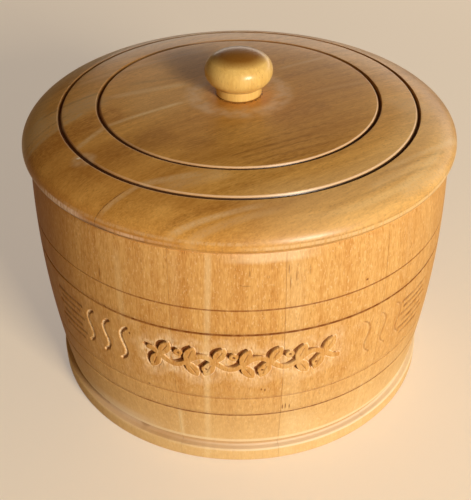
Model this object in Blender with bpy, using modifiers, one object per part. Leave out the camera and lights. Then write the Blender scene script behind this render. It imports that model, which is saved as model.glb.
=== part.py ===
"""Stave-built wooden biscuit barrel with a turned, loose-fitting lid.

The frame is +Z up with the origin on the surface it stands on, under the middle of the barrel, and the
front of the barrel faces -Y. All sizes are in metres.
"""

import math

import bmesh
import bpy
from mathutils import Matrix, Vector

# Body: a ring of mitred staves, turned inside and out after gluing
BODY_HEIGHT = 0.1341
BELLY_RADIUS = 0.1084
BELLY_LEVEL = 0.093
SWEEP_RADIUS = 0.520
WALL_AT_BELLY = 0.0134
STAVE_COUNT = 13
FRONT_JOINT_ANGLE = math.radians(-79.2)
MOUTH_EASE = 0.0012

# Foot: a short plain band under a small cove
FOOT_PROJECTION = 0.0024
FOOT_HEIGHT = 0.0082
COVE_HEIGHT = 0.0034
COVE_DEPTH = 0.0012
FOOT_EASE = 0.0009

# Fine turned lines on the body: two below the mouth, two above the foot
UPPER_LINES_BELOW_MOUTH = (0.0302, 0.0445)
LOWER_LINES_ABOVE_FOOT = (0.0388, 0.0261)
LINE_WIDTH = 0.0014
LINE_DEPTH = 0.0009

# Base: boards let into a groove round the inside of the staves
BASE_LEVEL = 0.012
BASE_THICKNESS = 0.008
BASE_TONGUE = 0.003
BASE_BOARD_WIDTH = 0.064
BASE_BOARD_COUNT = 3

# Lid: edge-glued boards, turned to a crown with a rolled rim and a spigot below
LID_OVERHANG = 0.0033
LID_RIM_RISE = 0.0042
LID_CROWN = 0.0173
LID_CROWN_POWER = 3.8
RIM_TUCK_ANGLE = math.radians(58)
SPIGOT_DEPTH = 0.006
SPIGOT_CLEARANCE = 0.0008
SPIGOT_EASE = 0.001
RING_GROOVE_RADII = (0.0706, 0.0900)
RING_GROOVE_WIDTH = 0.0028
RING_GROOVE_FLOOR_WIDTH = 0.0014
RING_GROOVE_OUTER_SLOPE = 0.0003
RING_GROOVE_DEPTH = 0.0019
LID_GRAIN_ANGLE = math.radians(34)
LID_FRONT_BOARD_WIDTH = 0.0701
LID_BACK_BOARD_WIDTH = 0.0261
LID_BOARD_COUNT = 4

# Knob: a flattened ball on a collar
KNOB_RADIUS = 0.0170
KNOB_HEAD_HEIGHT = 0.0197
KNOB_ROUNDNESS = 2.2
COLLAR_RADIUS = 0.0115
COLLAR_HEIGHT = 0.0047

# Countersunk wood screw, up through the lid into the knob
SCREW_LENGTH = 0.038
SCREW_HEAD_RADIUS = 0.0042
SCREW_SHANK_RADIUS = 0.0021
SCREW_THREAD_RADIUS = 0.0018
SCREW_THREAD_LENGTH = 0.016
SCREW_POINT_LENGTH = 0.003
RECESS_LENGTH = 0.0044
RECESS_WIDTH = 0.0009
RECESS_DEPTH = 0.0013

# Gaps: glue lines and rests, and the screw in its holes
SEAT_GAP = 0.0003
SCREW_CLEARANCE = 0.0003

# Facets round the turned shapes
FACETS_PER_STAVE = 5
LID_FACETS = 72
KNOB_FACETS = 32
SCREW_FACETS = 16

# Sizes that follow from the ones above
STAVE_ANGLE = 2 * math.pi / STAVE_COUNT
BORE_RADIUS = BELLY_RADIUS - WALL_AT_BELLY
COVE_TOP_LEVEL = FOOT_HEIGHT + COVE_HEIGHT
LID_SEAT_LEVEL = BODY_HEIGHT + SEAT_GAP
SPIGOT_FACE_LEVEL = LID_SEAT_LEVEL - SPIGOT_DEPTH
SPIGOT_RADIUS = BORE_RADIUS - SPIGOT_CLEARANCE
RIM_LEVEL = LID_SEAT_LEVEL + LID_RIM_RISE
CROWN_LEVEL = RIM_LEVEL + LID_CROWN
KNOB_SEAT_LEVEL = CROWN_LEVEL + SEAT_GAP
KNOB_SEAM_LEVEL = KNOB_SEAT_LEVEL + COLLAR_HEIGHT
SCREW_HEAD_HEIGHT = SCREW_HEAD_RADIUS - SCREW_SHANK_RADIUS
SCREW_HOLE_RADIUS = SCREW_SHANK_RADIUS + SCREW_CLEARANCE
PILOT_RADIUS = SCREW_THREAD_RADIUS + SCREW_CLEARANCE
SCREW_FACE_LEVEL = SPIGOT_FACE_LEVEL + SCREW_CLEARANCE
SCREW_TIP_LEVEL = SCREW_FACE_LEVEL + SCREW_LENGTH
OUTSIDE = 2 * BELLY_RADIUS

WOOD_STAVE = ("stave_wood", (0.60, 0.33, 0.12), 0.42, 0.0)
WOOD_LID = ("lid_wood", (0.47, 0.26, 0.09), 0.38, 0.0)
WOOD_KNOB = ("knob_wood", (0.68, 0.40, 0.13), 0.30, 0.0)
WOOD_BASE = ("base_wood", (0.55, 0.31, 0.12), 0.50, 0.0)
SCREW_STEEL = ("screw_steel", (0.72, 0.66, 0.50), 0.35, 1.0)


def body_radius(level):
    """Outer radius of the body: one long arc, widest at the belly."""
    rise = level - BELLY_LEVEL
    return BELLY_RADIUS - (SWEEP_RADIUS - math.sqrt(SWEEP_RADIUS ** 2 - rise ** 2))


MOUTH_RADIUS = body_radius(BODY_HEIGHT)
FOOT_RADIUS = body_radius(COVE_TOP_LEVEL) + FOOT_PROJECTION
LID_RADIUS = MOUTH_RADIUS + LID_OVERHANG


def crown_level(radius):
    """Height of the lid's top: a crown that stays nearly flat and then rolls over at the rim."""
    return RIM_LEVEL + LID_CROWN * math.sqrt(1 - (radius / LID_RADIUS) ** LID_CROWN_POWER)


def arc(centre, radii, start, end, steps):
    """Points on an elliptical arc about a centre, from one angle to another, both in degrees."""
    points = []
    for step in range(steps + 1):
        angle = math.radians(start + (end - start) * step / steps)
        points.append((centre[0] + radii[0] * math.cos(angle), centre[1] + radii[1] * math.sin(angle)))
    return points


def body_side():
    """The swept side from mouth to cove, with a V cut for each turned line."""
    lines = [BODY_HEIGHT - drop for drop in UPPER_LINES_BELOW_MOUTH]
    lines += [FOOT_HEIGHT + rise for rise in LOWER_LINES_ABOVE_FOOT]
    top = BODY_HEIGHT - MOUTH_EASE
    stops = [top] + lines + [COVE_TOP_LEVEL]
    points = []
    for upper, lower in zip(stops, stops[1:]):
        if upper != top:
            points.append((body_radius(upper) - LINE_DEPTH, upper))
            points.append((body_radius(upper - LINE_WIDTH / 2), upper - LINE_WIDTH / 2))
        middle = (upper + lower) / 2
        points.append((body_radius(middle), middle))
        if lower != COVE_TOP_LEVEL:
            points.append((body_radius(lower + LINE_WIDTH / 2), lower + LINE_WIDTH / 2))
    points.append((body_radius(COVE_TOP_LEVEL), COVE_TOP_LEVEL))
    return points


def body_profile():
    """Section of the stave wall, down its outer side and back up the bore."""
    ease = MOUTH_EASE
    mouth = [(BORE_RADIUS, BODY_HEIGHT - ease), (BORE_RADIUS + ease, BODY_HEIGHT)]
    mouth += arc((MOUTH_RADIUS - ease, BODY_HEIGHT - ease), (ease, ease), 90, 0, 3)
    cove_centre = (body_radius(COVE_TOP_LEVEL), (FOOT_HEIGHT + COVE_TOP_LEVEL) / 2)
    cove = arc(cove_centre, (COVE_DEPTH, COVE_HEIGHT / 2), 90, 270, 4)[1:]
    foot = arc((FOOT_RADIUS - FOOT_EASE, FOOT_HEIGHT - FOOT_EASE), (FOOT_EASE, FOOT_EASE), 90, 0, 2)
    foot += arc((FOOT_RADIUS - FOOT_EASE, FOOT_EASE), (FOOT_EASE, FOOT_EASE), 0, -90, 2)
    tongue_radius = BORE_RADIUS + BASE_TONGUE
    inside = [
        (BORE_RADIUS, 0),
        (BORE_RADIUS, BASE_LEVEL - SEAT_GAP),
        (tongue_radius, BASE_LEVEL - SEAT_GAP),
        (tongue_radius, BASE_LEVEL + BASE_THICKNESS + SEAT_GAP),
        (BORE_RADIUS, BASE_LEVEL + BASE_THICKNESS + SEAT_GAP),
    ]
    return mouth + body_side() + cove + foot + inside


def ring_groove(radius):
    """A groove round the lid: a sloping inner wall, a flat floor and a steep outer wall."""
    inner_edge = radius - RING_GROOVE_WIDTH / 2
    outer_edge = radius + RING_GROOVE_WIDTH / 2
    floor_end = outer_edge - RING_GROOVE_OUTER_SLOPE
    floor = crown_level(radius) - RING_GROOVE_DEPTH
    return [
        (inner_edge, crown_level(inner_edge)),
        (floor_end - RING_GROOVE_FLOOR_WIDTH, floor),
        (floor_end, floor),
        (outer_edge, crown_level(outer_edge)),
    ]


def lid_profile():
    """Section of the lid, out over the crown, round the rim and back along the spigot to the screw hole."""
    inner, outer = RING_GROOVE_RADII
    top = [(SCREW_HOLE_RADIUS, crown_level(SCREW_HOLE_RADIUS)), (inner / 2, crown_level(inner / 2))]
    top += ring_groove(inner)
    top.append(((inner + outer) / 2, crown_level((inner + outer) / 2)))
    top += ring_groove(outer)
    roll = []
    roll_start = (outer + RING_GROOVE_WIDTH / 2) / LID_RADIUS
    first = math.acos(roll_start ** (LID_CROWN_POWER / 2))
    steps = 7
    for step in range(1, steps + 1):
        angle = first * (1 - step / steps)
        radius = LID_RADIUS * math.cos(angle) ** (2 / LID_CROWN_POWER)
        roll.append((radius, RIM_LEVEL + LID_CROWN * math.sin(angle)))
    tuck = []
    steps = 3
    for step in range(1, steps + 1):
        angle = RIM_TUCK_ANGLE * step / steps
        drawn_in = (1 - math.cos(angle)) / (1 - math.cos(RIM_TUCK_ANGLE))
        dropped = math.sin(angle) / math.sin(RIM_TUCK_ANGLE)
        tuck.append((LID_RADIUS - LID_OVERHANG * drawn_in, RIM_LEVEL - LID_RIM_RISE * dropped))
    below = [
        (SPIGOT_RADIUS, LID_SEAT_LEVEL),
        (SPIGOT_RADIUS, SPIGOT_FACE_LEVEL + SPIGOT_EASE),
        (SPIGOT_RADIUS - SPIGOT_EASE, SPIGOT_FACE_LEVEL),
        (SCREW_HOLE_RADIUS + SCREW_HEAD_HEIGHT + SCREW_CLEARANCE, SPIGOT_FACE_LEVEL),
        (SCREW_HOLE_RADIUS, SPIGOT_FACE_LEVEL + SCREW_HEAD_HEIGHT + SCREW_CLEARANCE),
    ]
    return top + roll + tuck + below


def knob_profile():
    """Half section of the knob: flattened ball, collar, seat and the pilot hole up its middle."""
    drop = KNOB_HEAD_HEIGHT / 2
    power = 2 / KNOB_ROUNDNESS
    seam_share = (COLLAR_RADIUS / KNOB_RADIUS) ** KNOB_ROUNDNESS
    seam_drop = drop * (1 - seam_share) ** (1 / KNOB_ROUNDNESS)
    middle = KNOB_SEAM_LEVEL + seam_drop
    points = [(0, middle + drop)]
    steps = 7
    for step in range(1, steps + 1):
        angle = math.pi / 2 * (1 - step / steps)
        points.append((KNOB_RADIUS * math.cos(angle) ** power, middle + drop * math.sin(angle) ** power))
    seam_angle = math.asin((seam_drop / drop) ** (1 / power))
    steps = 4
    for step in range(1, steps + 1):
        angle = seam_angle * step / steps
        points.append((KNOB_RADIUS * math.cos(angle) ** power, middle - drop * math.sin(angle) ** power))
    points += [
        (COLLAR_RADIUS, KNOB_SEAT_LEVEL),
        (PILOT_RADIUS, KNOB_SEAT_LEVEL),
        (PILOT_RADIUS, SCREW_TIP_LEVEL + SCREW_CLEARANCE),
        (0, SCREW_TIP_LEVEL + SCREW_CLEARANCE + PILOT_RADIUS / 2),
    ]
    return points


def screw_profile():
    """Half section of the screw: point, threaded part, shank and countersunk head."""
    thread_top = SCREW_TIP_LEVEL - SCREW_POINT_LENGTH
    thread_end = SCREW_TIP_LEVEL - SCREW_THREAD_LENGTH
    return [
        (0, SCREW_TIP_LEVEL),
        (SCREW_THREAD_RADIUS, thread_top),
        (SCREW_THREAD_RADIUS, thread_end),
        (SCREW_SHANK_RADIUS, thread_end - SCREW_CLEARANCE),
        (SCREW_SHANK_RADIUS, SCREW_FACE_LEVEL + SCREW_HEAD_HEIGHT),
        (SCREW_HEAD_RADIUS, SCREW_FACE_LEVEL),
        (0, SCREW_FACE_LEVEL),
    ]


def clear_scene():
    """Remove whatever the file holds, so that the script starts from nothing."""
    for thing in list(bpy.data.objects):
        bpy.data.objects.remove(thing, do_unlink=True)


def new_collection(name):
    """Make a collection in the scene."""
    collection = bpy.data.collections.new(name)
    bpy.context.scene.collection.children.link(collection)
    return collection


def wood_or_metal(finish):
    """Material with the piece's colour, roughness and metallic value."""
    name, colour, roughness, metallic = finish
    material = bpy.data.materials.get(name) or bpy.data.materials.new(name)
    material.use_nodes = True
    shader = material.node_tree.nodes["Principled BSDF"]
    shader.inputs["Base Color"].default_value = (*colour, 1)
    shader.inputs["Roughness"].default_value = roughness
    shader.inputs["Metallic"].default_value = metallic
    return material


def place(name, mesh, collection, finish=None):
    """Make an object of a mesh, in a collection, with its material."""
    thing = bpy.data.objects.new(name, mesh)
    collection.objects.link(thing)
    if finish:
        mesh.materials.append(wood_or_metal(finish))
    return thing


def hide_cutter(cutter):
    """Show a cutter as wire and keep it out of renders."""
    cutter.display_type = "WIRE"
    cutter.hide_render = True
    return cutter


def turned(name, profile, facets, collection, finish=None, ring=False, start_angle=0.0):
    """Turn a section round Z. A ring's section closes on itself and stays off the axis."""
    mesh = bpy.data.meshes.new(name)
    outline = bmesh.new()
    start = Matrix.Rotation(start_angle, 3, "Z")
    corners = [outline.verts.new(start @ Vector((radius, 0, level))) for radius, level in profile]
    for corner, following in zip(corners, corners[1:]):
        outline.edges.new((corner, following))
    if ring:
        outline.edges.new((corners[-1], corners[0]))
    outline.to_mesh(mesh)
    outline.free()
    thing = place(name, mesh, collection, finish)
    lathe = thing.modifiers.new("lathe", "SCREW")
    lathe.axis = "Z"
    lathe.angle = 2 * math.pi
    lathe.steps = facets
    lathe.render_steps = facets
    lathe.use_merge_vertices = True
    lathe.merge_threshold = 0.00001
    lathe.use_smooth_shade = True
    return thing


def block(name, low, high, collection, finish=None, turn=0.0):
    """A rectangular blank between two corners, turned about Z."""
    mesh = bpy.data.meshes.new(name)
    blank = bmesh.new()
    bmesh.ops.create_cube(blank, size=1)
    size = Vector(high) - Vector(low)
    middle = (Vector(high) + Vector(low)) / 2
    bmesh.ops.scale(blank, vec=size, verts=blank.verts)
    bmesh.ops.translate(blank, vec=middle, verts=blank.verts)
    bmesh.ops.rotate(blank, matrix=Matrix.Rotation(turn, 3, "Z"), verts=blank.verts)
    blank.to_mesh(mesh)
    blank.free()
    return place(name, mesh, collection, finish)


def stave_blank(name, start_angle, collection, finish):
    """A wedge from the axis out, with both faces drawn in by half a glue line."""
    half_gap = SEAT_GAP / 2
    half_angle = STAVE_ANGLE / 2
    reach = OUTSIDE
    mesh = bpy.data.meshes.new(name)
    wedge = bmesh.new()
    tip = half_gap / math.sin(half_angle)
    spread = (reach - tip) * math.tan(half_angle)
    section = [(tip, 0), (reach, -spread), (reach, spread)]
    floor_face = wedge.faces.new([wedge.verts.new((x, y, -SEAT_GAP)) for x, y in section])
    grown = bmesh.ops.extrude_face_region(wedge, geom=[floor_face])
    raised = [part for part in grown["geom"] if isinstance(part, bmesh.types.BMVert)]
    bmesh.ops.translate(wedge, vec=(0, 0, BODY_HEIGHT + 2 * SEAT_GAP), verts=raised)
    turn = Matrix.Rotation(start_angle + half_angle, 3, "Z")
    bmesh.ops.rotate(wedge, matrix=turn, verts=wedge.verts)
    bmesh.ops.recalc_face_normals(wedge, faces=wedge.faces)
    wedge.to_mesh(mesh)
    wedge.free()
    return place(name, mesh, collection, finish)


def combine(thing, tool, operation):
    """Cut a piece by a tool, or keep what the two share."""
    modifier = thing.modifiers.new(tool.name, "BOOLEAN")
    modifier.operation = operation
    modifier.object = tool
    modifier.solver = "EXACT"
    return thing


def make_staves(parts, cutters):
    """The body: each stave is its blank's share of the turned wall."""
    facets = STAVE_COUNT * FACETS_PER_STAVE
    half_facet = math.pi / facets
    start = FRONT_JOINT_ANGLE + half_facet
    wall = turned("turned_wall", body_profile(), facets, cutters, ring=True, start_angle=start)
    hide_cutter(wall)
    for number in range(STAVE_COUNT):
        start_angle = FRONT_JOINT_ANGLE + (number - 1) * STAVE_ANGLE
        stave = stave_blank(f"stave_{number + 1:02d}", start_angle, parts, WOOD_STAVE)
        combine(stave, wall, "INTERSECT")


def make_base(parts, cutters):
    """The floor: boards side by side, cut to a disc that sits in the groove of the staves."""
    radius = BORE_RADIUS + BASE_TONGUE - SEAT_GAP
    top = BASE_LEVEL + BASE_THICKNESS
    section = [(0, top), (radius, top), (radius, BASE_LEVEL), (0, BASE_LEVEL)]
    disc = hide_cutter(turned("turned_base", section, LID_FACETS, cutters))
    for number in range(BASE_BOARD_COUNT):
        start = (number - BASE_BOARD_COUNT / 2) * BASE_BOARD_WIDTH
        left = start + SEAT_GAP / 2
        right = start + BASE_BOARD_WIDTH - SEAT_GAP / 2
        if number == 0:
            left = -OUTSIDE
        if number == BASE_BOARD_COUNT - 1:
            right = OUTSIDE
        low = (left, -OUTSIDE, BASE_LEVEL - SEAT_GAP)
        high = (right, OUTSIDE, top + SEAT_GAP)
        board = block(f"base_board_{number + 1}", low, high, parts, WOOD_BASE)
        combine(board, disc, "INTERSECT")


def lid_edges():
    """Offsets of the lid boards' edges from the middle, front to back: the boards inside are alike."""
    first_joint = LID_RADIUS - LID_FRONT_BOARD_WIDTH
    last_joint = LID_BACK_BOARD_WIDTH - LID_RADIUS
    inside = LID_BOARD_COUNT - 2
    joints = [first_joint + (last_joint - first_joint) * number / inside for number in range(inside + 1)]
    return [OUTSIDE] + joints + [-OUTSIDE]


def make_lid(parts, cutters, carrier):
    """The lid: boards at the grain's angle, each its slice of the turned lid."""
    lid = hide_cutter(turned("turned_lid", lid_profile(), LID_FACETS, cutters, ring=True))
    across = LID_GRAIN_ANGLE - math.pi / 2
    edges = lid_edges()
    for number in range(LID_BOARD_COUNT):
        far = edges[number] - SEAT_GAP / 2
        near = edges[number + 1] + SEAT_GAP / 2
        low = (near, -OUTSIDE, SPIGOT_FACE_LEVEL - SEAT_GAP)
        high = (far, OUTSIDE, CROWN_LEVEL + SEAT_GAP)
        board = block(f"lid_board_{number + 1}", low, high, parts, WOOD_LID, turn=across)
        combine(board, lid, "INTERSECT")
        board.parent = carrier


def make_knob(parts, carrier):
    """The knob, turned in one piece with its collar."""
    knob = turned("knob", knob_profile(), KNOB_FACETS, parts, WOOD_KNOB)
    knob.parent = carrier


def make_screw(parts, cutters, carrier):
    """The screw, with a cross recess in its head."""
    screw = turned("knob_screw", screw_profile(), SCREW_FACETS, parts, SCREW_STEEL)
    half_length = RECESS_LENGTH / 2
    half_width = RECESS_WIDTH / 2
    bottom = SCREW_FACE_LEVEL - RECESS_DEPTH
    top = SCREW_FACE_LEVEL + RECESS_DEPTH
    for name, turn in (("recess_one", 0.0), ("recess_two", math.pi / 2)):
        low = (-half_length, -half_width, bottom)
        high = (half_length, half_width, top)
        slot = hide_cutter(block(name, low, high, cutters, turn=turn))
        combine(screw, slot, "DIFFERENCE")
    screw.parent = carrier


def build():
    """Make every piece of the barrel."""
    clear_scene()
    parts = new_collection("biscuit_barrel")
    cutters = new_collection("cutters")
    carrier = bpy.data.objects.new("lid_lift_axis", None)
    parts.objects.link(carrier)
    make_staves(parts, cutters)
    make_base(parts, cutters)
    make_lid(parts, cutters, carrier)
    make_knob(parts, carrier)
    make_screw(parts, cutters, carrier)


build()
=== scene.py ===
# %% [markdown]
# # A stave-built biscuit barrel
# The real barrel is turned wood: thirteen mitred staves glued in a ring, a lid glued up from four boards,
# and a knob screwed on from below. A measured frame of it already exists, with every piece at its real
# size. These cells dress that frame: each piece is turned again in a finer mesh, carved where the real
# one is carved, and given a wood that is drawn in real millimetres.

# %% Load the measured frame
import math

import bmesh
import bpy
import numpy as np
from mathutils import Matrix, Vector, noise


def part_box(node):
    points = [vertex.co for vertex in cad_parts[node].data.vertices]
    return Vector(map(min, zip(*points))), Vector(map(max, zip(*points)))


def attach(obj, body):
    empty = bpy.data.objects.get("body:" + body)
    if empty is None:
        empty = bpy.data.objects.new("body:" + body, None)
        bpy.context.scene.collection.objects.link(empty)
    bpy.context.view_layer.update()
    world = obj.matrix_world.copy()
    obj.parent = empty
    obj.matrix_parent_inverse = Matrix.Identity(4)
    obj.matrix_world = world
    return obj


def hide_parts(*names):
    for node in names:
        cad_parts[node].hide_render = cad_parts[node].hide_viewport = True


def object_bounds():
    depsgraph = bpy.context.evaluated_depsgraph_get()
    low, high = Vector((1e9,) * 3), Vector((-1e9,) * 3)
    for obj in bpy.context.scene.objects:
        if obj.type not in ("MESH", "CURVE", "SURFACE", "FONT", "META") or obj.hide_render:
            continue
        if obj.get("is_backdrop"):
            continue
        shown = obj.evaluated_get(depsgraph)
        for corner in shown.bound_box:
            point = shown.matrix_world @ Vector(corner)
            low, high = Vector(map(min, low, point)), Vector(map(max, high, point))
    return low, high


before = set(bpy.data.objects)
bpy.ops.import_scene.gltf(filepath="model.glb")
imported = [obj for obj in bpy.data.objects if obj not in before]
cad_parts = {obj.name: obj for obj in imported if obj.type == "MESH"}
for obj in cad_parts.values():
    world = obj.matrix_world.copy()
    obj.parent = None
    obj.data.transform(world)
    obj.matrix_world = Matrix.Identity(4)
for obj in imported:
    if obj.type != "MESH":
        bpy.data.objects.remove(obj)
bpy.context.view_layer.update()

MM = 0.001

# %% [markdown]
# ## The camera
# The turned lines are true circles on the real barrel, so their ellipses in the photograph fix where the
# camera stood: in front, above the lid and close. A lens length and three turns say the rest. The turns
# are applied as a sum of plain rotations, because that is easier to check than a track constraint.

# %% Camera at the photograph's angle
CAMERA_PLACE = Vector((0.0, -0.3973, 0.3508))
CAMERA_YAW = math.radians(-0.338)
CAMERA_PITCH = math.radians(36.436)
CAMERA_ROLL = math.radians(-0.461)
CAMERA_LENS = 62.15

camera_data = bpy.data.cameras.new("camera")
camera_data.lens = CAMERA_LENS
camera_data.clip_start = 0.01
camera = bpy.data.objects.new("camera", camera_data)
bpy.context.scene.collection.objects.link(camera)
look_down = Matrix.Rotation(math.pi / 2 - CAMERA_PITCH, 4, "X")
swing = Matrix.Rotation(-CAMERA_YAW, 4, "Z")
tilt = Matrix.Rotation(CAMERA_ROLL, 4, "Z")
camera.matrix_world = Matrix.Translation(CAMERA_PLACE) @ swing @ look_down @ tilt
bpy.context.scene.camera = camera
print("camera", round(CAMERA_PLACE.length / MM), "mm from the foot of the barrel")

# %% [markdown]
# ## Colours and nodes
# Colours are written as the hex values that a colour picker shows. Blender shades in linear light, so one
# function turns them. A second one adds a shader node: an input that is given a socket is linked, and any
# other value is set on the node itself. A third starts a material on the shader that comes with it.

# %% Colour and node helpers
def linear(hex_colour):
    """An sRGB hex colour as linear red, green, blue and alpha."""
    shares = [int(hex_colour[start:start + 2], 16) / 255 for start in (1, 3, 5)]
    return tuple(s / 12.92 if s <= 0.04045 else ((s + 0.055) / 1.055) ** 2.4 for s in shares) + (1.0,)


def add_node(tree, kind, inputs=None, **settings):
    """Add a node with its settings; a socket given as an input is linked, other values are set."""
    node = tree.nodes.new(kind)
    for name, value in settings.items():
        setattr(node, name, value)
    for key, value in (inputs or {}).items():
        if isinstance(value, bpy.types.NodeSocket):
            tree.links.new(value, node.inputs[key])
        else:
            node.inputs[key].default_value = value
    return node


def new_material(name):
    """A new material, its node tree and its shader."""
    material = bpy.data.materials.new(name)
    material.use_nodes = True
    return material, material.node_tree, material.node_tree.nodes["Principled BSDF"]


# The colour inputs and output of a Mix node set to RGBA
FACTOR, FIRST, SECOND, MIXED = 0, 6, 7, 2
print("a mid brown in linear light:", [round(c, 3) for c in linear("#9C6E33")])

# %% [markdown]
# ## Marks on the wood
# A turned line, a dark groove, a pale streak or a dent is the same idea each time: a share that is 1 inside
# the mark and 0 outside, and a colour laid over the wood in that share. A mark with bounds of several kinds
# is the product of a share for each. Such a limit is a number, a socket, or a value with the ramp that it
# goes up. Where a mark lies is worked out from the object's own millimetres, so it stays put when the lid is
# lifted.

# %% Mark helpers
def ramp(value, start, end, low=0.0, high=1.0, ease="LINEAR"):
    """A limit that is low up to a start, high past an end and a ramp between, whichever way a value runs."""
    return value, start, end, low, high, ease


def band(value, low, high, soft):
    """Two limits that keep a mark between two bounds of a value, with soft edges."""
    return (ramp(value, low - soft, low + soft, ease="SMOOTHSTEP"),
            ramp(value, high + soft, high - soft, ease="SMOOTHSTEP"))


def within(tree, *limits):
    """The share that limits leave, multiplied together; each is a number, a socket or a ramp."""
    share = None
    for limit in limits:
        if isinstance(limit, tuple):
            value, start, end, low, high, ease = limit
            limit = add_node(tree, "ShaderNodeMapRange", {
                "Value": value, "From Min": start, "From Max": end, "To Min": low, "To Max": high},
                interpolation_type=ease).outputs[0]
        if share is not None:
            limit = add_node(tree, "ShaderNodeMath", {0: share, 1: limit}, operation="MULTIPLY").outputs[0]
        share = limit
    return share


def spot(tree, place, middle, reach):
    """An oval share round a middle, with half its size given each way; all in the place's own unit."""
    offset = add_node(tree, "ShaderNodeVectorMath", {0: place, 1: middle}, operation="SUBTRACT")
    scaled = add_node(tree, "ShaderNodeVectorMath", {0: offset.outputs[0], 1: reach}, operation="DIVIDE")
    far = add_node(tree, "ShaderNodeVectorMath", {0: scaled.outputs[0]}, operation="LENGTH")
    return within(tree, ramp(far.outputs["Value"], 1.25, 0.55, ease="SMOOTHSTEP"))


def washed(tree, colour, wash, *limits):
    """A colour with another one laid over it within some limits."""
    mix = add_node(tree, "ShaderNodeMix", {
        FACTOR: within(tree, *limits), FIRST: colour, SECOND: linear(wash)}, data_type="RGBA")
    return mix.outputs[MIXED]


def places(tree):
    """Object x, y, z and distance from the axis in millimetres, and azimuth from the front in degrees."""
    in_metres = add_node(tree, "ShaderNodeTexCoord").outputs["Object"]
    place = add_node(tree, "ShaderNodeVectorMath", {0: in_metres, "Scale": 1 / MM}, operation="SCALE")
    x, y, z = add_node(tree, "ShaderNodeSeparateXYZ", {0: place.outputs[0]}).outputs
    level = add_node(tree, "ShaderNodeVectorMath", {0: place.outputs[0], 1: (1, 1, 0)}, operation="MULTIPLY")
    radius = add_node(tree, "ShaderNodeVectorMath", {0: level.outputs[0]}, operation="LENGTH")
    front = add_node(tree, "ShaderNodeMath", {0: y, 1: -1.0}, operation="MULTIPLY")
    turn = add_node(tree, "ShaderNodeMath", {0: x, 1: front.outputs[0]}, operation="ARCTAN2")
    azimuth = add_node(tree, "ShaderNodeMath", {0: turn.outputs[0]}, operation="DEGREES")
    return {"flat": level.outputs[0], "x": x, "y": y, "z": z, "radius": radius.outputs["Value"],
            "azimuth": azimuth.outputs[0]}


print("a soft band from 1 to 2 is two limits:", [limit[1:5] for limit in band(None, 1, 2, 0.1)])

# %% [markdown]
# ## Wood that knows its grain
# Each board was sawn along its own grain, so a pattern in plain object space would run through the joints
# like wallpaper. Every vertex therefore carries a point in its own board's frame: two directions across
# the grain and one along it, plus an offset that no other board shares. Noise that is stretched along the
# last direction then looks like fibres, on the side of a board as well as on its end. Real grain is never
# quite straight, so the point first drifts sideways a little, very slowly.

# %% Grain pattern
OPEN_PORES = 0.6


def drifting_grain(tree, grain, sway):
    """The grain point moved sideways by up to half a sway in millimetres, over some 60 mm."""
    slow = add_node(tree, "ShaderNodeVectorMath", {0: grain, 1: (22, 22, 8)}, operation="MULTIPLY")
    drift = add_node(tree, "ShaderNodeTexNoise", {"Vector": slow.outputs[0], "Scale": 1.0, "Detail": 1.0})
    reach = sway * MM
    moved = add_node(tree, "ShaderNodeVectorMath", {
        0: drift.outputs["Color"], 1: (reach, reach, 0), 2: grain}, operation="MULTIPLY_ADD")
    return moved.outputs[0]


def grain_texture(tree, kind, grain, across, along, **inputs):
    """The outputs of a texture with spots of a size across the grain and along it, in millimetres."""
    spots = (1 / (across * MM), 1 / (across * MM), 1 / (along * MM))
    drawn_out = add_node(tree, "ShaderNodeVectorMath", {0: grain, 1: spots}, operation="MULTIPLY")
    return add_node(tree, kind, {"Vector": drawn_out.outputs[0], "Scale": 1.0, **inputs}).outputs


def grain_pores(tree, grain, across, along):
    """Short dark vessels along the grain: 1 in a pore and 0 between pores."""
    cells = grain_texture(tree, "ShaderNodeTexVoronoi", grain, across, along)
    lot = add_node(tree, "ShaderNodeSeparateColor", {"Color": cells["Color"]})
    is_open = add_node(tree, "ShaderNodeMath", {0: lot.outputs[0], 1: OPEN_PORES}, operation="LESS_THAN")
    return within(tree, ramp(cells["Distance"], 0.30, 0.14, ease="SMOOTHSTEP"), is_open.outputs[0])


def weighed(tree, layers):
    """Several noises added up round a middle of one half, each with its own weight."""
    total = 0.5 - 0.5 * sum(weight for _, weight in layers)
    for pattern, weight in layers:
        step = add_node(tree, "ShaderNodeMath", {0: pattern, 1: weight, 2: total}, operation="MULTIPLY_ADD")
        total = step.outputs[0]
    return total


print("share of pores that are open:", OPEN_PORES)

# %% [markdown]
# ## The wood
# The barrel is a pale, straight-grained hardwood such as rubberwood, under a satin varnish that has gone
# the colour of honey. Rings, streaks and fibres are three noises of falling size. Pores are short dark
# dashes that crowd in some rings and are missing in others. End grain drinks varnish and goes darker, which
# a dot product of the surface's normal with the grain's direction finds.

# %% Colour of the bare wood
END_GRAIN_TINT = (0.72, 0.58, 0.42, 1)
DEEP_BOARD_TINT, PALE_BOARD_TINT = (0.92, 0.82, 0.68, 1), (1.05, 1.10, 1.20, 1)

# Size in millimetres, across the grain and along it, of the places where pores crowd
CROWDED_SIZE = (5.0, 60.0)


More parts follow.
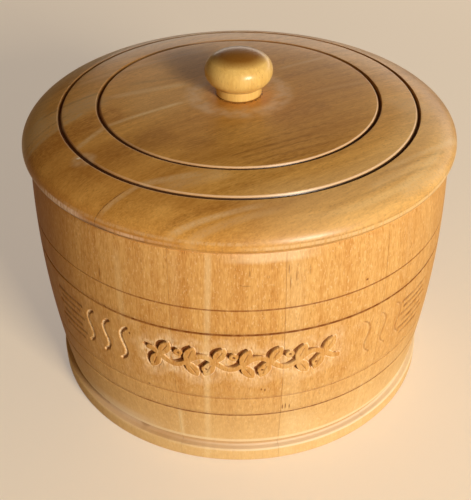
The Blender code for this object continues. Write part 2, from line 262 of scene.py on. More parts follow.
def start_wood(name, pale, dark, pore_colour, rings, streaks, fibres, pores, grain_axis, sway,
               end_from=0.7, end_full=1.0, end_tint=END_GRAIN_TINT):
    """A wood's colour so far, with the sockets that marks and the finish go on to use."""
    material, tree, shader = new_material(name)
    straight = add_node(tree, "ShaderNodeAttribute", attribute_name="grain").outputs["Vector"]
    tone = add_node(tree, "ShaderNodeAttribute", attribute_name="tone").outputs["Fac"]
    grain = drifting_grain(tree, straight, sway)
    layers = [(grain_texture(tree, "ShaderNodeTexNoise", grain, across, along, Detail=detail)["Fac"], weight)
              for (across, along, weight), detail in ((rings, 2.0), (streaks, 3.0), (fibres, 2.0))]
    wood = add_node(tree, "ShaderNodeMix", {
        FACTOR: weighed(tree, layers), FIRST: linear(pale), SECOND: linear(dark)}, data_type="RGBA")
    board = add_node(tree, "ShaderNodeMix", {
        FACTOR: tone, FIRST: DEEP_BOARD_TINT, SECOND: PALE_BOARD_TINT}, data_type="RGBA")
    toned = add_node(tree, "ShaderNodeMix", {
        FACTOR: 1.0, FIRST: wood.outputs[MIXED], SECOND: board.outputs[MIXED]},
        data_type="RGBA", blend_type="MULTIPLY")
    crowds = grain_texture(tree, "ShaderNodeTexNoise", grain, *CROWDED_SIZE, Detail=1.0)["Fac"]
    pore_share = within(tree, grain_pores(tree, grain, *pores[:2]), ramp(crowds, 0.42, 0.62), pores[2])
    colour = washed(tree, toned.outputs[MIXED], pore_colour, pore_share)
    facing = add_node(tree, "ShaderNodeNewGeometry").outputs["Normal"]
    along = add_node(tree, "ShaderNodeVectorMath", {0: facing, 1: grain_axis}, operation="DOT_PRODUCT")
    both_ends = add_node(tree, "ShaderNodeMath", {0: along.outputs["Value"]}, operation="ABSOLUTE")
    end_share = within(tree, ramp(both_ends.outputs[0], end_from, end_full))
    ended = add_node(tree, "ShaderNodeMix", {
        FACTOR: end_share, FIRST: colour, SECOND: end_tint}, data_type="RGBA", blend_type="MULTIPLY")
    return {"material": material, "tree": tree, "shader": shader, "grain": grain, "fibres": layers[2][0],
            "pores": pore_share, "colour": ended.outputs[MIXED]}


print("end grain is tinted", END_GRAIN_TINT[:3])

# %% [markdown]
# The finish comes after any marks. Where the carver has cut, the wood is paler and rougher, and torn along
# its grain; on the wavy strokes that pale is painted light on their lit side. The stain colour darkens the
# deep corners of the carving, mostly as painted shade, and dirt takes the shine away. Fibres and pores also
# give the varnish a faint relief, by bump, because they are far too fine to model.

# %% Carver's marks and varnish
# Also the colour of painted light on the wavy strokes' lit side
TOOLED_AND_LIT_COLOUR = "#F8DDB8"
# Also the colour of painted shade in the carving
STAIN_AND_SHADE_COLOUR = "#6A300E"
FIBRE_ROUGHNESS, TOOLED_ROUGHNESS, DIRT_ROUGHNESS = 0.14, 0.2, 0.5
FIBRE_RELIEF, FIBRE_HEIGHT = 0.3, 0.1 * MM
VARNISH_IOR = 1.5

# Size in millimetres, across the grain and along it, of what a gouge tears out
TORN_SIZE = (0.8, 2.6)


def finish_wood(wood, roughness, coat, coat_roughness, specular):
    """Lay the carver's marks over a wood's colour and give it its varnish."""
    tree, shader = wood["tree"], wood["shader"]
    # The tooled share also holds painted light on the wavy strokes, and the stained share painted shade in
    # the carving
    cut = add_node(tree, "ShaderNodeAttribute", attribute_name="tooled_and_lit").outputs["Fac"]
    stain_and_shade = add_node(tree, "ShaderNodeAttribute", attribute_name="stain_and_shade").outputs["Fac"]
    torn = grain_texture(tree, "ShaderNodeTexNoise", wood["grain"], *TORN_SIZE, Detail=2.0)["Fac"]
    tooled_and_lit = within(tree, cut, ramp(torn, 0.28, 0.56))
    colour = washed(tree, wood["colour"], TOOLED_AND_LIT_COLOUR, tooled_and_lit)
    tree.links.new(washed(tree, colour, STAIN_AND_SHADE_COLOUR, stain_and_shade), shader.inputs["Base Color"])
    rough_places = [(wood["fibres"], FIBRE_ROUGHNESS), (cut, TOOLED_ROUGHNESS)]
    shader.inputs["Coat Weight"].default_value = coat
    if "dirt" in wood:
        rough_places.append((wood["dirt"], DIRT_ROUGHNESS))
        left_shiny = within(tree, ramp(wood["dirt"], 0.0, 1.0, coat, 0.0))
        tree.links.new(left_shiny, shader.inputs["Coat Weight"])
    rough = roughness - 0.5 * FIBRE_ROUGHNESS
    for share, more in rough_places:
        rougher = add_node(tree, "ShaderNodeMath", {0: share, 1: more, 2: rough}, operation="MULTIPLY_ADD")
        rough = rougher.outputs[0]
    tree.links.new(rough, shader.inputs["Roughness"])
    relief = weighed(tree, [(wood["fibres"], 0.8), (wood["pores"], -1.0), (tooled_and_lit, 0.8)])
    bump = add_node(tree, "ShaderNodeBump", {
        "Strength": FIBRE_RELIEF, "Distance": FIBRE_HEIGHT, "Height": relief})
    tree.links.new(bump.outputs[0], shader.inputs["Normal"])
    shader.inputs["IOR"].default_value = VARNISH_IOR
    shader.inputs["Specular IOR Level"].default_value = specular
    shader.inputs["Coat Roughness"].default_value = coat_roughness
    return wood["material"]


print("fibres and pores differ by", round(FIBRE_HEIGHT / MM, 2), "mm in height")

# %% [markdown]
# ## The staves' wood
# The staves are rubberwood with upright grain, and painted light makes the wall paler towards the foot.
# What makes this barrel this one is small: pale streaks near the front, a pin hole, some dark flecks. Each
# kind is a table that a loop reads. A fleck is placed on the unrolled wall, so that it is as wide as it is
# measured.

# %% Stave wood
UNROLL_RADIUS = 108.2
MOUTH_LEVEL = 134.0

# Azimuth at the mouth and at the foot, half width in degrees, lowest and highest level and strength
PALE_STREAKS = (
    (-7.1, -9.4, 0.7, 0, 134, 0.40), (-16.2, -16.7, 0.6, 13, 34, 0.60), (-30.5, -29.5, 0.8, 86, 126, 0.20),
    (13.0, 13.6, 2.2, 0, 134, 0.16), (36.5, 35.5, 0.5, 12, 40, 0.20), (15.5, 16.5, 4.0, 12, 30, 0.30),
    (46.5, 45.5, 0.6, 96, 134, 0.10), (-15.2, -14.6, 1.0, 90, 134, 0.10),
)
# Azimuth, level, half width and half height in millimetres, and strength of dark flecks
FLECKS = (
    (32.2, 108.3, 0.7, 0.6, 0.9), (-36.2, 109.6, 0.35, 3.4, 0.6), (-28.6, 79.6, 0.5, 0.9, 0.9),
    (5.4, 53.6, 0.4, 0.8, 0.8), (6.3, 53.0, 0.4, 1.0, 0.8), (-35.7, 90.0, 0.9, 0.9, 0.8),
    (-27.3, 89.6, 0.9, 0.7, 0.8), (11.2, 38.6, 0.36, 2.0, 0.8), (12.0, 39.0, 0.36, 2.2, 0.8),
    (13.1, 38.4, 0.36, 1.8, 0.7), (1.5, 117.6, 2.0, 0.4, 0.35), (0.2, 118.0, 0.6, 0.5, 0.3),
    (11.4, 125.0, 0.3, 2.6, 0.5), (11.8, 118.0, 0.3, 4.0, 0.5), (13.2, 121.0, 0.3, 3.0, 0.45),
    (16.5, 123.0, 0.3, 3.0, 0.4), (2.3, 124.0, 0.35, 1.8, 0.5), (-24.6, 48.4, 0.6, 0.6, 0.6),
)

wood = start_wood(
    "varnished_stave_rubberwood", pale="#E9BF7C", dark="#C28842", pore_colour="#84501C",
    rings=(9.0, 180.0, 0.8), streaks=(1.9, 50.0, 0.8), fibres=(0.6, 4.0, 1.5), pores=(0.95, 4.0, 0.4),
    grain_axis=(0, 0, 1), sway=5.0, end_from=0.9)
tree = wood["tree"]
here = places(tree)
# Painted light: the wall is washed paler towards the foot
colour = washed(tree, wood["colour"], "#F8DDA6", ramp(here["z"], 56.0, 10.0), 0.60)
for top, foot, half_width, lowest, highest, strength in PALE_STREAKS:
    lean = within(tree, ramp(here["z"], MOUTH_LEVEL, 0.0, -top, -foot))
    aside = add_node(tree, "ShaderNodeMath", {0: here["azimuth"], 1: lean}, operation="ADD").outputs[0]
    colour = washed(tree, colour, "#F8E2B2", *band(aside, -half_width, half_width, half_width * 0.8),
                    *band(here["z"], lowest, highest, 5.0), strength)
around = add_node(tree, "ShaderNodeMath", {
    0: here["azimuth"], 1: math.radians(UNROLL_RADIUS)}, operation="MULTIPLY")
wall = add_node(tree, "ShaderNodeCombineXYZ", {0: around.outputs[0], 1: here["z"]}).outputs[0]
for azimuth, level, half_width, half_height, strength in FLECKS:
    middle = (math.radians(azimuth) * UNROLL_RADIUS, level, 0)
    colour = washed(tree, colour, STAIN_AND_SHADE_COLOUR,
                    spot(tree, wall, middle, (half_width, half_height, 1)), strength)

# Clouds of a few millimetres, and finer specks
clouds = add_node(tree, "ShaderNodeTexNoise", {"Vector": wall, "Scale": 0.3, "Detail": 4.0})
specks = grain_texture(tree, "ShaderNodeTexNoise", wood["grain"], 0.7, 1.8, Detail=1.0)["Fac"]
uneven = within(tree, ramp(clouds.outputs["Fac"], 0.3, 0.62))
colour = washed(tree, colour, "#B47A38", uneven, 0.14)
colour = washed(tree, colour, "#FBE6BE", ramp(specks, 0.60, 0.74), 0.30)
print(len(PALE_STREAKS), "pale streaks and", len(FLECKS), "flecks on the staves")

# %% [markdown]
# The four turned lines have filled with dark varnish, unevenly, and are paler round at the left. The cove
# above the foot holds a painted reflection of its surroundings, with painted highlights along its edges and
# painted light on the sunlit right of the foot. These marks belong to the outer side, so a share of the
# radius keeps them off the bore. A painted reflection lies just under the mouth at the front right, and the
# left of the wall, turned away from the main light, is washed a deeper honey as painted shade.

# %% Wear, painted light and painted shade on the staves
LINE_LEVELS = (103.9, 89.6, 47.0, 34.3)

# Half width of the dark in each line, and how dark it has gone
LINE_STAINS = ((0.42, 0.72), (0.62, 0.90), (0.34, 0.46), (0.50, 0.78))

# Lowest and highest level, softness, azimuths where the mark begins and is full, strength and colour
# Every row is painted light: a painted reflection in the cove, painted highlights on its edges, and painted
# light on the sunlit right
PAINTED_FOOT_LIGHT = (
    (8.2, 11.5, 0.35, -181, -180, 0.72, "#C29C76"),  # painted reflection of the surroundings all round the cove
    (7.2, 8.9, 0.40, -24, 6, 0.70, "#FBE8CC"),  # painted highlight on the foot's upper edge
    (7.0, 13.5, 0.60, 38, 62, 0.50, "#FCE6BC"),  # painted light on the sunlit right of the foot
    (11.7, 13.8, 0.60, -181, -180, 0.54, "#FFEFD0"),  # painted highlight along the edge above the cove
)
outside = within(tree, *band(here["radius"], 98.5, 200, 0.2))
fainter = within(tree, ramp(here["azimuth"], -60.0, -20.0, 0.34))
for level, (half_width, strength) in zip(LINE_LEVELS, LINE_STAINS):
    filled = band(here["z"], level - half_width, level + half_width, 0.2)
    colour = washed(tree, colour, "#783600", *filled, outside, fainter,
                    ramp(uneven, 0.0, 1.0, strength * 0.6, strength))
for low, high, soft, begins, full, strength, wash in PAINTED_FOOT_LIGHT:
    colour = washed(tree, colour, wash, *band(here["z"], low, high, soft), outside,
                    ramp(here["azimuth"], begins, full), strength)

# Painted reflection just under the mouth at the front right, a pale wash over the cove at the left with a
# dark gap in it, and painted shade on the left of the wall, away from the main light
colour = washed(tree, colour, "#FFEFD0", *band(here["z"], 129.4, 134.5, 1.2),
                *band(here["azimuth"], -1, 16, 6.0), 0.35)
colour = washed(tree, colour, "#FFEFDC", *band(here["z"], 8.6, 18.0, 3.0),
                *band(here["azimuth"], -51, -28, 9.0), outside, 0.48)
gap = spot(tree, wall, (math.radians(-29.5) * UNROLL_RADIUS, 10.0, 0), (3.4, 1.7, 1))
colour = washed(tree, colour, "#9A6A3A", gap, outside, 0.5)
# Painted shade: the left of the wall, turned away from the main light, is washed a deeper honey
wood["colour"] = washed(
    tree, colour, "#9C5600", ramp(here["azimuth"], -45.0, -66.0, 0.0, 0.72), ramp(here["z"], 8.0, 38.0),
    *band(here["azimuth"], -112, -40, 6.0), outside)
stave_wood = finish_wood(wood, roughness=0.46, coat=0.0, coat_roughness=0.25, specular=0.14)
print(stave_wood.name, "has", len(tree.nodes), "nodes")

# %% [markdown]
# ## The lid's wood
# The lid's boards lie flat, with their grain at an angle to the front. They show softer, broader streaks
# than the staves. A streak is placed by its offset across the grain at both of its ends, so that it can
# lean, and figure that follows the rim is placed by radius and azimuth.

# %% Lid wood
LID_GRAIN_ANGLE = math.radians(34)
LID_ACROSS = (math.sin(LID_GRAIN_ANGLE), -math.cos(LID_GRAIN_ANGLE), 0)
LID_ALONG = (math.cos(LID_GRAIN_ANGLE), math.sin(LID_GRAIN_ANGLE), 0)
PALE_FIGURE, DARK_FIGURE, BEIGE_FIGURE = "#EFCD98", "#8A5820", "#D0B184"

# Offset across the grain and place along it of both ends, half width, strength and colour of streaks
LID_STREAKS = (
    (-9.4, -70, -7.6, -29, 1.2, 0.56, PALE_FIGURE), (-2.4, -89, -9.4, -70, 1.5, 0.56, PALE_FIGURE),
    (-11.5, 34, -11.5, 63, 1.2, 0.34, PALE_FIGURE), (-34.4, -55, -24.6, -17, 2.2, 0.36, PALE_FIGURE),
    (-41.0, -39, -33.0, -15, 1.6, 0.22, DARK_FIGURE), (-44.5, -91, -44.0, -58, 0.9, 0.45, DARK_FIGURE),
    (-34.0, -108, -38.5, -58, 8.0, 0.44, BEIGE_FIGURE), (-17.5, -110, -18.0, -58, 8.0, 0.36, "#A8660A"),
    (41.2, -99, 41.6, -80, 1.2, 0.44, PALE_FIGURE), (41.6, -80, 50.7, -57, 1.8, 0.50, PALE_FIGURE),
    (50.0, -72, 57.0, -46, 4.0, 0.30, PALE_FIGURE), (39.97, -104, 39.97, -86, 0.2, 0.55, "#5A3010"),
    (71.0, -82, 82.8, -45, 1.2, 0.52, PALE_FIGURE), (67.0, -84, 76.0, -50, 1.6, 0.22, DARK_FIGURE),
    (77.5, -78, 88.5, -40, 1.5, 0.26, PALE_FIGURE), (48.2, -38, 54.2, 8, 0.7, 0.34, DARK_FIGURE),
    (52.5, -36, 58.5, 12, 0.6, 0.28, DARK_FIGURE), (57.5, -34, 63.5, 8, 0.7, 0.34, DARK_FIGURE),
    (62.5, -30, 68.0, 4, 0.6, 0.28, DARK_FIGURE), (44.0, -30, 50.0, 20, 0.6, 0.20, DARK_FIGURE),
    (30.0, -50, 34.0, 30, 4.5, 0.20, DARK_FIGURE), (51.0, 58, 56.0, 78, 7.0, 0.20, PALE_FIGURE),
    (16.0, -100, 16.0, -50, 8.0, 0.20, DARK_FIGURE), (-3.0, 30, -2.0, 66, 2.4, 0.16, DARK_FIGURE),
    (20.0, 30, 24.0, 62, 1.4, 0.16, PALE_FIGURE), (-62.0, -60, -56.0, 20, 2.0, 0.18, PALE_FIGURE),
    (91.5, 20, 85.5, 58, 1.1, 0.36, PALE_FIGURE), (85.5, 58, 79.1, 78, 1.4, 0.36, PALE_FIGURE),
    (93.2, 5, 91.8, 34, 0.9, 0.24, DARK_FIGURE), (91.8, 34, 88.6, 58, 0.7, 0.22, DARK_FIGURE),
    (97.3, 4, 92.4, 50, 1.8, 0.26, PALE_FIGURE), (103.6, 16, 97.4, 52, 2.6, 0.24, PALE_FIGURE),
    (99.4, 0, 95.6, 40, 0.6, 0.22, DARK_FIGURE), (-22.6, -108, -29.6, -72, 1.5, 0.44, BEIGE_FIGURE),
    (-38.0, -102, -48.0, -84, 0.9, 0.36, BEIGE_FIGURE), (-29.0, -106, -34.5, -78, 0.7, 0.24, DARK_FIGURE),
)
# Radius from and to, azimuth from and to, strength and colour of figure that follows the rim
LID_ARCS = (
    (72, 112, -62, -10, 0.26, "#A86010"), (91, 112, -8, 20, 0.28, "#A86010"),
    (16, 67, -40, 70, 0.12, "#A86010"), (98, 114, -140, -74, 0.34, "#F0D4A2"),
    (24, 68, 30, 178, 0.26, "#9A5C08"), (30, 69, -176, -140, 0.24, "#9A5C08"),
    (50, 69, -50, 30, 0.16, "#9A5C08"), (96, 112, 88, 124, 0.30, "#8A5418"),
    (92, 98, -20, 76, 0.22, "#9A5C10"), (20, 56, -150, -62, 0.12, "#F0D8A8"),
    (88, 103, -69, -57, 0.22, "#A05800"), (90, 97, -46, -34, 0.24, "#A05800"),
    (86, 103, -175, -112, 0.24, "#F2E2C4"), (82, 111, 5, 84, 0.22, "#F6E0B0"),
    (98.3, 100.4, 8, 40, 0.12, DARK_FIGURE), (101.6, 104.4, 22, 74, 0.16, "#F6DFAE"),
)

wood = start_wood(
    "varnished_lid_rubberwood", pale="#F0BC66", dark="#C08A3A", pore_colour="#74431A",
    rings=(12.0, 130.0, 1.1), streaks=(3.0, 70.0, 1.0), fibres=(0.65, 4.0, 1.2), pores=(0.9, 3.5, 0.4),
    grain_axis=LID_ALONG, sway=16.0, end_from=0.6)
tree = wood["tree"]
here = places(tree)
colour = wood["colour"]
across = add_node(tree, "ShaderNodeVectorMath", {0: here["flat"], 1: LID_ACROSS}, operation="DOT_PRODUCT")
along = add_node(tree, "ShaderNodeVectorMath", {0: here["flat"], 1: LID_ALONG}, operation="DOT_PRODUCT")
across, along = across.outputs["Value"], along.outputs["Value"]
wispy = within(tree, ramp(wood["fibres"], 0.36, 0.60, 0.7, 1.7))
for offset, low, last_offset, high, half_width, strength, wash in LID_STREAKS:
    lean = (last_offset - offset) / (high - low)
    drift = add_node(tree, "ShaderNodeMath", {0: along, 1: -lean, 2: lean * low}, operation="MULTIPLY_ADD")
    aside = add_node(tree, "ShaderNodeMath", {0: across, 1: drift.outputs[0]}, operation="ADD").outputs[0]
    colour = washed(tree, colour, wash,
                    *band(aside, offset - half_width, offset + half_width, half_width * 0.7),
                    *band(along, low, high, 4.0), wispy, strength)
for low, high, left, right, strength, wash in LID_ARCS:
    colour = washed(tree, colour, wash, *band(here["radius"], low, high, 0.2 * (high - low)),
                    *band(here["azimuth"], left, right, 12.0), strength)
print(len(LID_STREAKS), "streaks and", len(LID_ARCS), "arcs in the lid's figure")

# %% [markdown]
# Hands have rubbed the top pale round the knob, and a warm ring lies close to its collar at the front. A
# bruise with a bright fleck sits near the rim at the left, and the rim's low edge is scuffed. Along the rim
# lie painted shade, in a crease under the crown and at the front left, and a painted highlight at the right.
# Two noises break these marks up: slow blotches for rubbing, and finer ones for chips.

# %% Wear, painted shade and painted highlights on the lid
# Level from and to, azimuth from and to, strength and colour of wear, painted shade and painted highlights
# along the rim
RIM_WEAR_AND_PAINTED_LIGHT = (
    # The first five are painted light: two lines of painted shade in a crease under the crown, a painted
    # highlight along the rim at the right, and a painted shadowy patch and a line of painted shade low on
    # the rim at the front left. The rest are pale scuffs and chips.
    (137.1, 137.6, -30, 112, 0.55, "#7C4812"), (139.7, 140.1, 12, 112, 0.50, "#86541A"),
    (137.7, 139.5, 2, 112, 0.34, "#FFE9BE"), (136.9, 138.9, -37, -32, 0.85, "#4E2408"),
    (136.9, 137.7, -60, -22, 0.80, "#4E2408"), (138.1, 139.3, -78, -14, 0.42, "#DDB898"),
    (140.4, 141.6, -46, 2, 0.26, "#EED4AE"), (137.4, 140.3, -54, -40, 1.0, "#F0D4C0"),
    (137.6, 139.4, -29, -22, 0.7, "#ECCAAC"),
)

# Blotches of some 6 mm, and chips of about 1 mm
blotches = add_node(tree, "ShaderNodeTexNoise", {"Vector": here["flat"], "Scale": 0.16, "Detail": 3.0})
broken = add_node(tree, "ShaderNodeTexNoise", {"Vector": here["flat"], "Scale": 0.9, "Detail": 2.0})
blotches, broken = blotches.outputs["Fac"], broken.outputs["Fac"]
rubbed = within(tree, ramp(blotches, 0.30, 0.60))
top_side = within(tree, *band(here["z"], 144, 220, 2.0))
colour = washed(tree, colour, DARK_FIGURE, ramp(broken, 0.52, 0.74), 0.22)

# Radius from and to, softness, a limit that each mark is kept to, strength and colour round the knob
KNOB_MARKS = (
    (18.5, 26.5, 3.0, rubbed, 0.46, "#E9D2B4"),
    (10.0, 16.5, 2.2, ramp(here["y"], 6.0, -10.0), 0.42, "#BC7420"),
    (11.3, 12.1, 0.25, ramp(broken, 0.46, 0.56), 0.80, STAIN_AND_SHADE_COLOUR),
)
for inner, outer, soft, kept, strength, wash in KNOB_MARKS:
    colour = washed(tree, colour, wash, *band(here["radius"], inner, outer, soft), kept, top_side, strength)
bruise = spot(tree, here["flat"], (-71, -57, 0), (6, 5, 400))
colour = washed(tree, colour, "#E6CBA6", bruise, rubbed, top_side, 0.52)
fleck = spot(tree, here["flat"], (-73.2, -55.4, 0), (1.3, 0.7, 400))
colour = washed(tree, colour, "#F4E6CE", fleck, top_side, 0.95)
for low, high, left, right, strength, wash in RIM_WEAR_AND_PAINTED_LIGHT:
    colour = washed(tree, colour, wash, *band(here["z"], low, high, 0.45),
                    *band(here["azimuth"], left, right, 4.0), ramp(broken, 0.30, 0.56), strength)
print(len(KNOB_MARKS), "marks round the knob and", len(RIM_WEAR_AND_PAINTED_LIGHT), "along the rim")

# %% [markdown]
# The two ring grooves are painted nearly black at the bottom, as painted shade for the shade that falls in
# them, and less dark towards the back; dirt also takes their shine away there. Painted highlights lie along
# their inner edge at the front and their outer edge at the left, and painted shade darkens the lower inner
# wall at the front and makes the outer wall a mid brown towards the back.

# %% Painted shade and highlights, and dirt, in the ring grooves
LID_GROOVE_RADII = (70.6, 90.0)
GROOVE_BOTTOM = (-0.34, 0.84, 0.08)

IN_FRONT = ramp(here["y"], 40.0, -10.0)

# Offset from a groove's radius from and to, softness, two limits that each is kept to, and its colour
GROOVE_LIGHT_AND_SHADE = (
    # Rows: a painted highlight on the inner edge at the front, a painted highlight on the outer edge at the
    # left, painted shade on the bottom, painted shade on the outer wall towards the back, and painted shade
    # on the lower inner wall at the front
    (-1.45, -0.85, 0.18, ramp(here["x"], -70.0, 0.0, 0.15, 0.62), IN_FRONT, "#F3D6B8"),
    (1.15, 1.60, 0.15, ramp(here["x"], 10.0, -60.0, 0.0, 0.45), IN_FRONT, "#EBC9A4"),
    (*GROOVE_BOTTOM, ramp(here["y"], 20.0, 80.0, 0.90, 0.48), 1.0, "#4A1406"),
    (0.88, 1.16, 0.06, ramp(here["y"], -25.0, 20.0, 0.0, 0.7), 1.0, "#7E5228"),
    (-0.80, -0.26, 0.08, ramp(here["y"], 5.0, -30.0, 0.0, 0.92), 1.0, "#2E0A04"),
)
bottoms = []
for radius in LID_GROOVE_RADII:
    for start, end, soft, *kept, wash in GROOVE_LIGHT_AND_SHADE:
        groove = band(here["radius"], radius + start, radius + end, soft)
        colour = washed(tree, colour, wash, *groove, *kept, top_side)
    start, end, soft = GROOVE_BOTTOM
    bottoms.append(within(tree, *band(here["radius"], radius + start, radius + end, soft)))
dirt = add_node(tree, "ShaderNodeMath", {0: bottoms[0], 1: bottoms[1]}, operation="MAXIMUM").outputs[0]
wood["dirt"] = within(tree, dirt, top_side)
wood["colour"] = colour
lid_wood = finish_wood(wood, roughness=0.44, coat=0.38, coat_roughness=0.30, specular=0.42)
print(lid_wood.name, "has", len(tree.nodes), "nodes")

# %% [markdown]
# ## The knob's wood and the floor's
# The knob was turned from a paler piece and polished by hands, and its top is darker end grain. The floor
# boards inside were never varnished.

# %% Knob and floor board wood
knob_wood = finish_wood(start_wood(
    "varnished_turned_knob", pale="#F8D482", dark="#DFB05A", pore_colour="#8A5422",
    rings=(7.0, 90.0, 0.7), streaks=(1.2, 40.0, 0.8), fibres=(0.45, 5.0, 0.9), pores=(0.8, 3.0, 0.4),
    grain_axis=(0, 0, 1), sway=2.0, end_from=0.76, end_full=0.95, end_tint=(0.36, 0.225, 0.09, 1)),
    roughness=0.36, coat=0.34, coat_roughness=0.20, specular=0.4)
base_wood = finish_wood(start_wood(
    "bare_base_boards", pale="#DDB47C", dark="#C0935C", pore_colour="#7A5228",
    rings=(10.0, 150.0, 1.0), streaks=(2.2, 70.0, 0.8), fibres=(0.5, 8.0, 0.6), pores=(1.0, 5.0, 0.4),
    grain_axis=(0, 1, 0), sway=6.0), roughness=0.62, coat=0.0, coat_roughness=0.3, specular=0.3)
print("woods:", [m.name for m in (stave_wood, lid_wood, knob_wood, base_wood)])

# %% [markdown]
# ## From a profile to a piece
# Everything on a lathe is a profile turned round an axis, and `bmesh.ops.spin` does just that. A helper
# lays the profile down as a chain of edges; another rounds its corners, because no turned corner is
# perfectly sharp. Spinning in hundreds of steps is slow, so the section is spun in a few, each step is cut
# finely, and the cuts are brought out to the circle.

# %% Section helpers
# Vertices closer than this in metres are welded, and radii closer than the second one are the same
WELD, SAME = 1e-6, 1e-7
QUARTER_STEPS = 5


def arc(centre, radii, start, end, steps):
    """Points on an elliptical arc about a centre, from one angle to another, both in degrees."""
    angles = [math.radians(start + (end - start) * step / steps) for step in range(steps + 1)]
    return [(centre[0] + radii[0] * math.cos(a), centre[1] + radii[1] * math.sin(a)) for a in angles]


def rounded(radius, level, ease, start):
    """A quarter turn round a centre, which rounds off a square edge of a profile."""
    return arc((radius, level), (ease, ease), start, start - 90, QUARTER_STEPS)


def eased(before, corner, after, ease, steps=3):
    """A corner rounded off: points on a short curve that leaves one side and joins the other."""
    corner = Vector(corner)
    first = corner + (Vector(before) - corner).normalized() * ease
    last = corner + (Vector(after) - corner).normalized() * ease
    shares = [step / steps for step in range(steps + 1)]
    return [tuple(first * (1 - s) ** 2 + corner * 2 * s * (1 - s) + last * s ** 2) for s in shares]


def draw_section(mesh, section, closed, turn=0.0):
    """Lay a section of (radius, level) points down as edges in the half plane at an angle round Z."""
    corners = [mesh.verts.new((r * math.cos(turn), r * math.sin(turn), z)) for r, z in section]
    for corner, following in zip(corners, corners[1:]):
        mesh.edges.new((corner, following))
    if closed:
        mesh.edges.new((corners[-1], corners[0]))


def turn_finely(mesh, start, sweep, steps, cuts):
    """Spin a section in a few steps, then cut each step finely and bring the cuts out to the circle."""
    bmesh.ops.spin(mesh, geom=mesh.verts[:] + mesh.edges[:], axis=(0, 0, 1), cent=(0, 0, 0), angle=sweep,
                   steps=steps, use_merge=sweep == 2 * math.pi, use_duplicate=False)
    chords = []
    for edge in mesh.edges:
        a, b = [vert.co for vert in edge.verts]
        if abs(a.z - b.z) < SAME and abs(a.xy.length - b.xy.length) < SAME:
            chords.append(edge)
    bmesh.ops.subdivide_edges(mesh, edges=chords, cuts=cuts, use_grid_fill=True)
    step = sweep / steps
    for vert in mesh.verts:
        turned = math.remainder(math.atan2(vert.co.y, vert.co.x) - start, 2 * math.pi)
        outward = math.cos(turned % step - step / 2) / math.cos(step / 2)
        vert.co.x *= outward
        vert.co.y *= outward


print("a rounded corner has", len(eased((0, 1), (0, 0), (1, 0), 0.1)), "points")

# %% [markdown]
# A finished bmesh becomes an object here. Every vertex gets its grain point and its board's tone as
# attributes that the wood reads, the piece is tied to the body it moves with, and the plain solid it stands
# for is hidden.

# %% Finish a piece
SHARP_ANGLE = math.radians(50)

# Each board has a number; a step this long between numbers leaves no two boards the same grain
BOARD_OFFSET = (0.371, 0.193, 0.557)
FLOOR_NUMBERS, LID_NUMBERS, KNOB_NUMBER = 20, 30, 40


def vertex_places(data):
    """Where a mesh's vertices are, as rows of x, y and z."""
    points = np.empty(len(data.vertices) * 3)
    data.vertices.foreach_get("co", points)
    return points.reshape(-1, 3)


def add_shares(data, name, values):
    """Keep one number for each vertex under a name that materials can read."""
    data.attributes.new(name, "FLOAT", "POINT").data.foreach_set("value", values.astype(np.float32))


def finish_piece(name, mesh, material, body, node, board_axes, number, tone):
    """Make an object of a bmesh with grain and wood, tie it to its body, and hide the solid it stands for.
    """
    data = bpy.data.meshes.new(name)
    mesh.to_mesh(data)
    mesh.free()
    points = vertex_places(data)
    own_frame = points @ np.array(board_axes).T + np.array(BOARD_OFFSET) * number
    grain = data.attributes.new("grain", "FLOAT_VECTOR", "POINT")
    grain.data.foreach_set("vector", own_frame.astype(np.float32).ravel())
    add_shares(data, "tone", np.full(len(points), tone))
    data.materials.append(material)
    data.shade_smooth()
    data.set_sharp_from_angle(angle=SHARP_ANGLE)
    piece = bpy.data.objects.new(name, data)
    bpy.context.scene.collection.objects.link(piece)
    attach(piece, body)
    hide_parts(node)
    return piece


print("pieces will be smooth up to", round(math.degrees(SHARP_ANGLE)), "degrees")

# %% [markdown]
# ## The body's section
# The side is one long shallow arc, widest above the middle. Four fine lines are cut into it with the
# point of a skew chisel, two below the mouth and two above the foot. The arc is a formula; the lines are
# dips that are taken off it, at the levels where the wood is stained, so both can be moved without
# redrawing the section.

# %% Sweep and lines of the side
BODY_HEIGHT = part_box("stave_01")[1].z
BELLY_RADIUS = 108.4 * MM
BELLY_LEVEL = 93.0 * MM
SWEEP_RADIUS = 520 * MM
MOUTH_EASE = 1.2 * MM
COVE_TOP_LEVEL = 11.6 * MM
SIDE_STEP = 2.5 * MM
CARVED_STEP = 0.22 * MM
CARVED_BAND = (52.0 * MM, 88.4 * MM)

# Rows across a turned line, and what lies clear of it, as shares of its width from its middle
LINE_ROWS, LINE_CLEAR = (-0.55, -0.4, -0.25, -0.12, 0, 0.12, 0.25, 0.4, 0.55), 0.6

# Width and depth of each turned line, and with them its level
LINE_CUTS = ((0.9 * MM, 0.55 * MM), (1.3 * MM, 0.95 * MM), (0.8 * MM, 0.45 * MM), (1.0 * MM, 0.65 * MM))
TURNED_LINES = [(level * MM, width, depth) for level, (width, depth) in zip(LINE_LEVELS, LINE_CUTS)]


def body_radius(level):
    """Outer radius of the body before its lines are cut."""
    return BELLY_RADIUS - (SWEEP_RADIUS - math.sqrt(SWEEP_RADIUS ** 2 - (level - BELLY_LEVEL) ** 2))


def line_cut(level):
    """How deep the turned lines go at a level."""
    cut = 0.0
    for middle, width, depth in TURNED_LINES:
        share = abs(level - middle) / (width / 2)
        if share < 1:
            cut = max(cut, depth * (1 - share) * (1 + share * (1 - share)))
    return cut


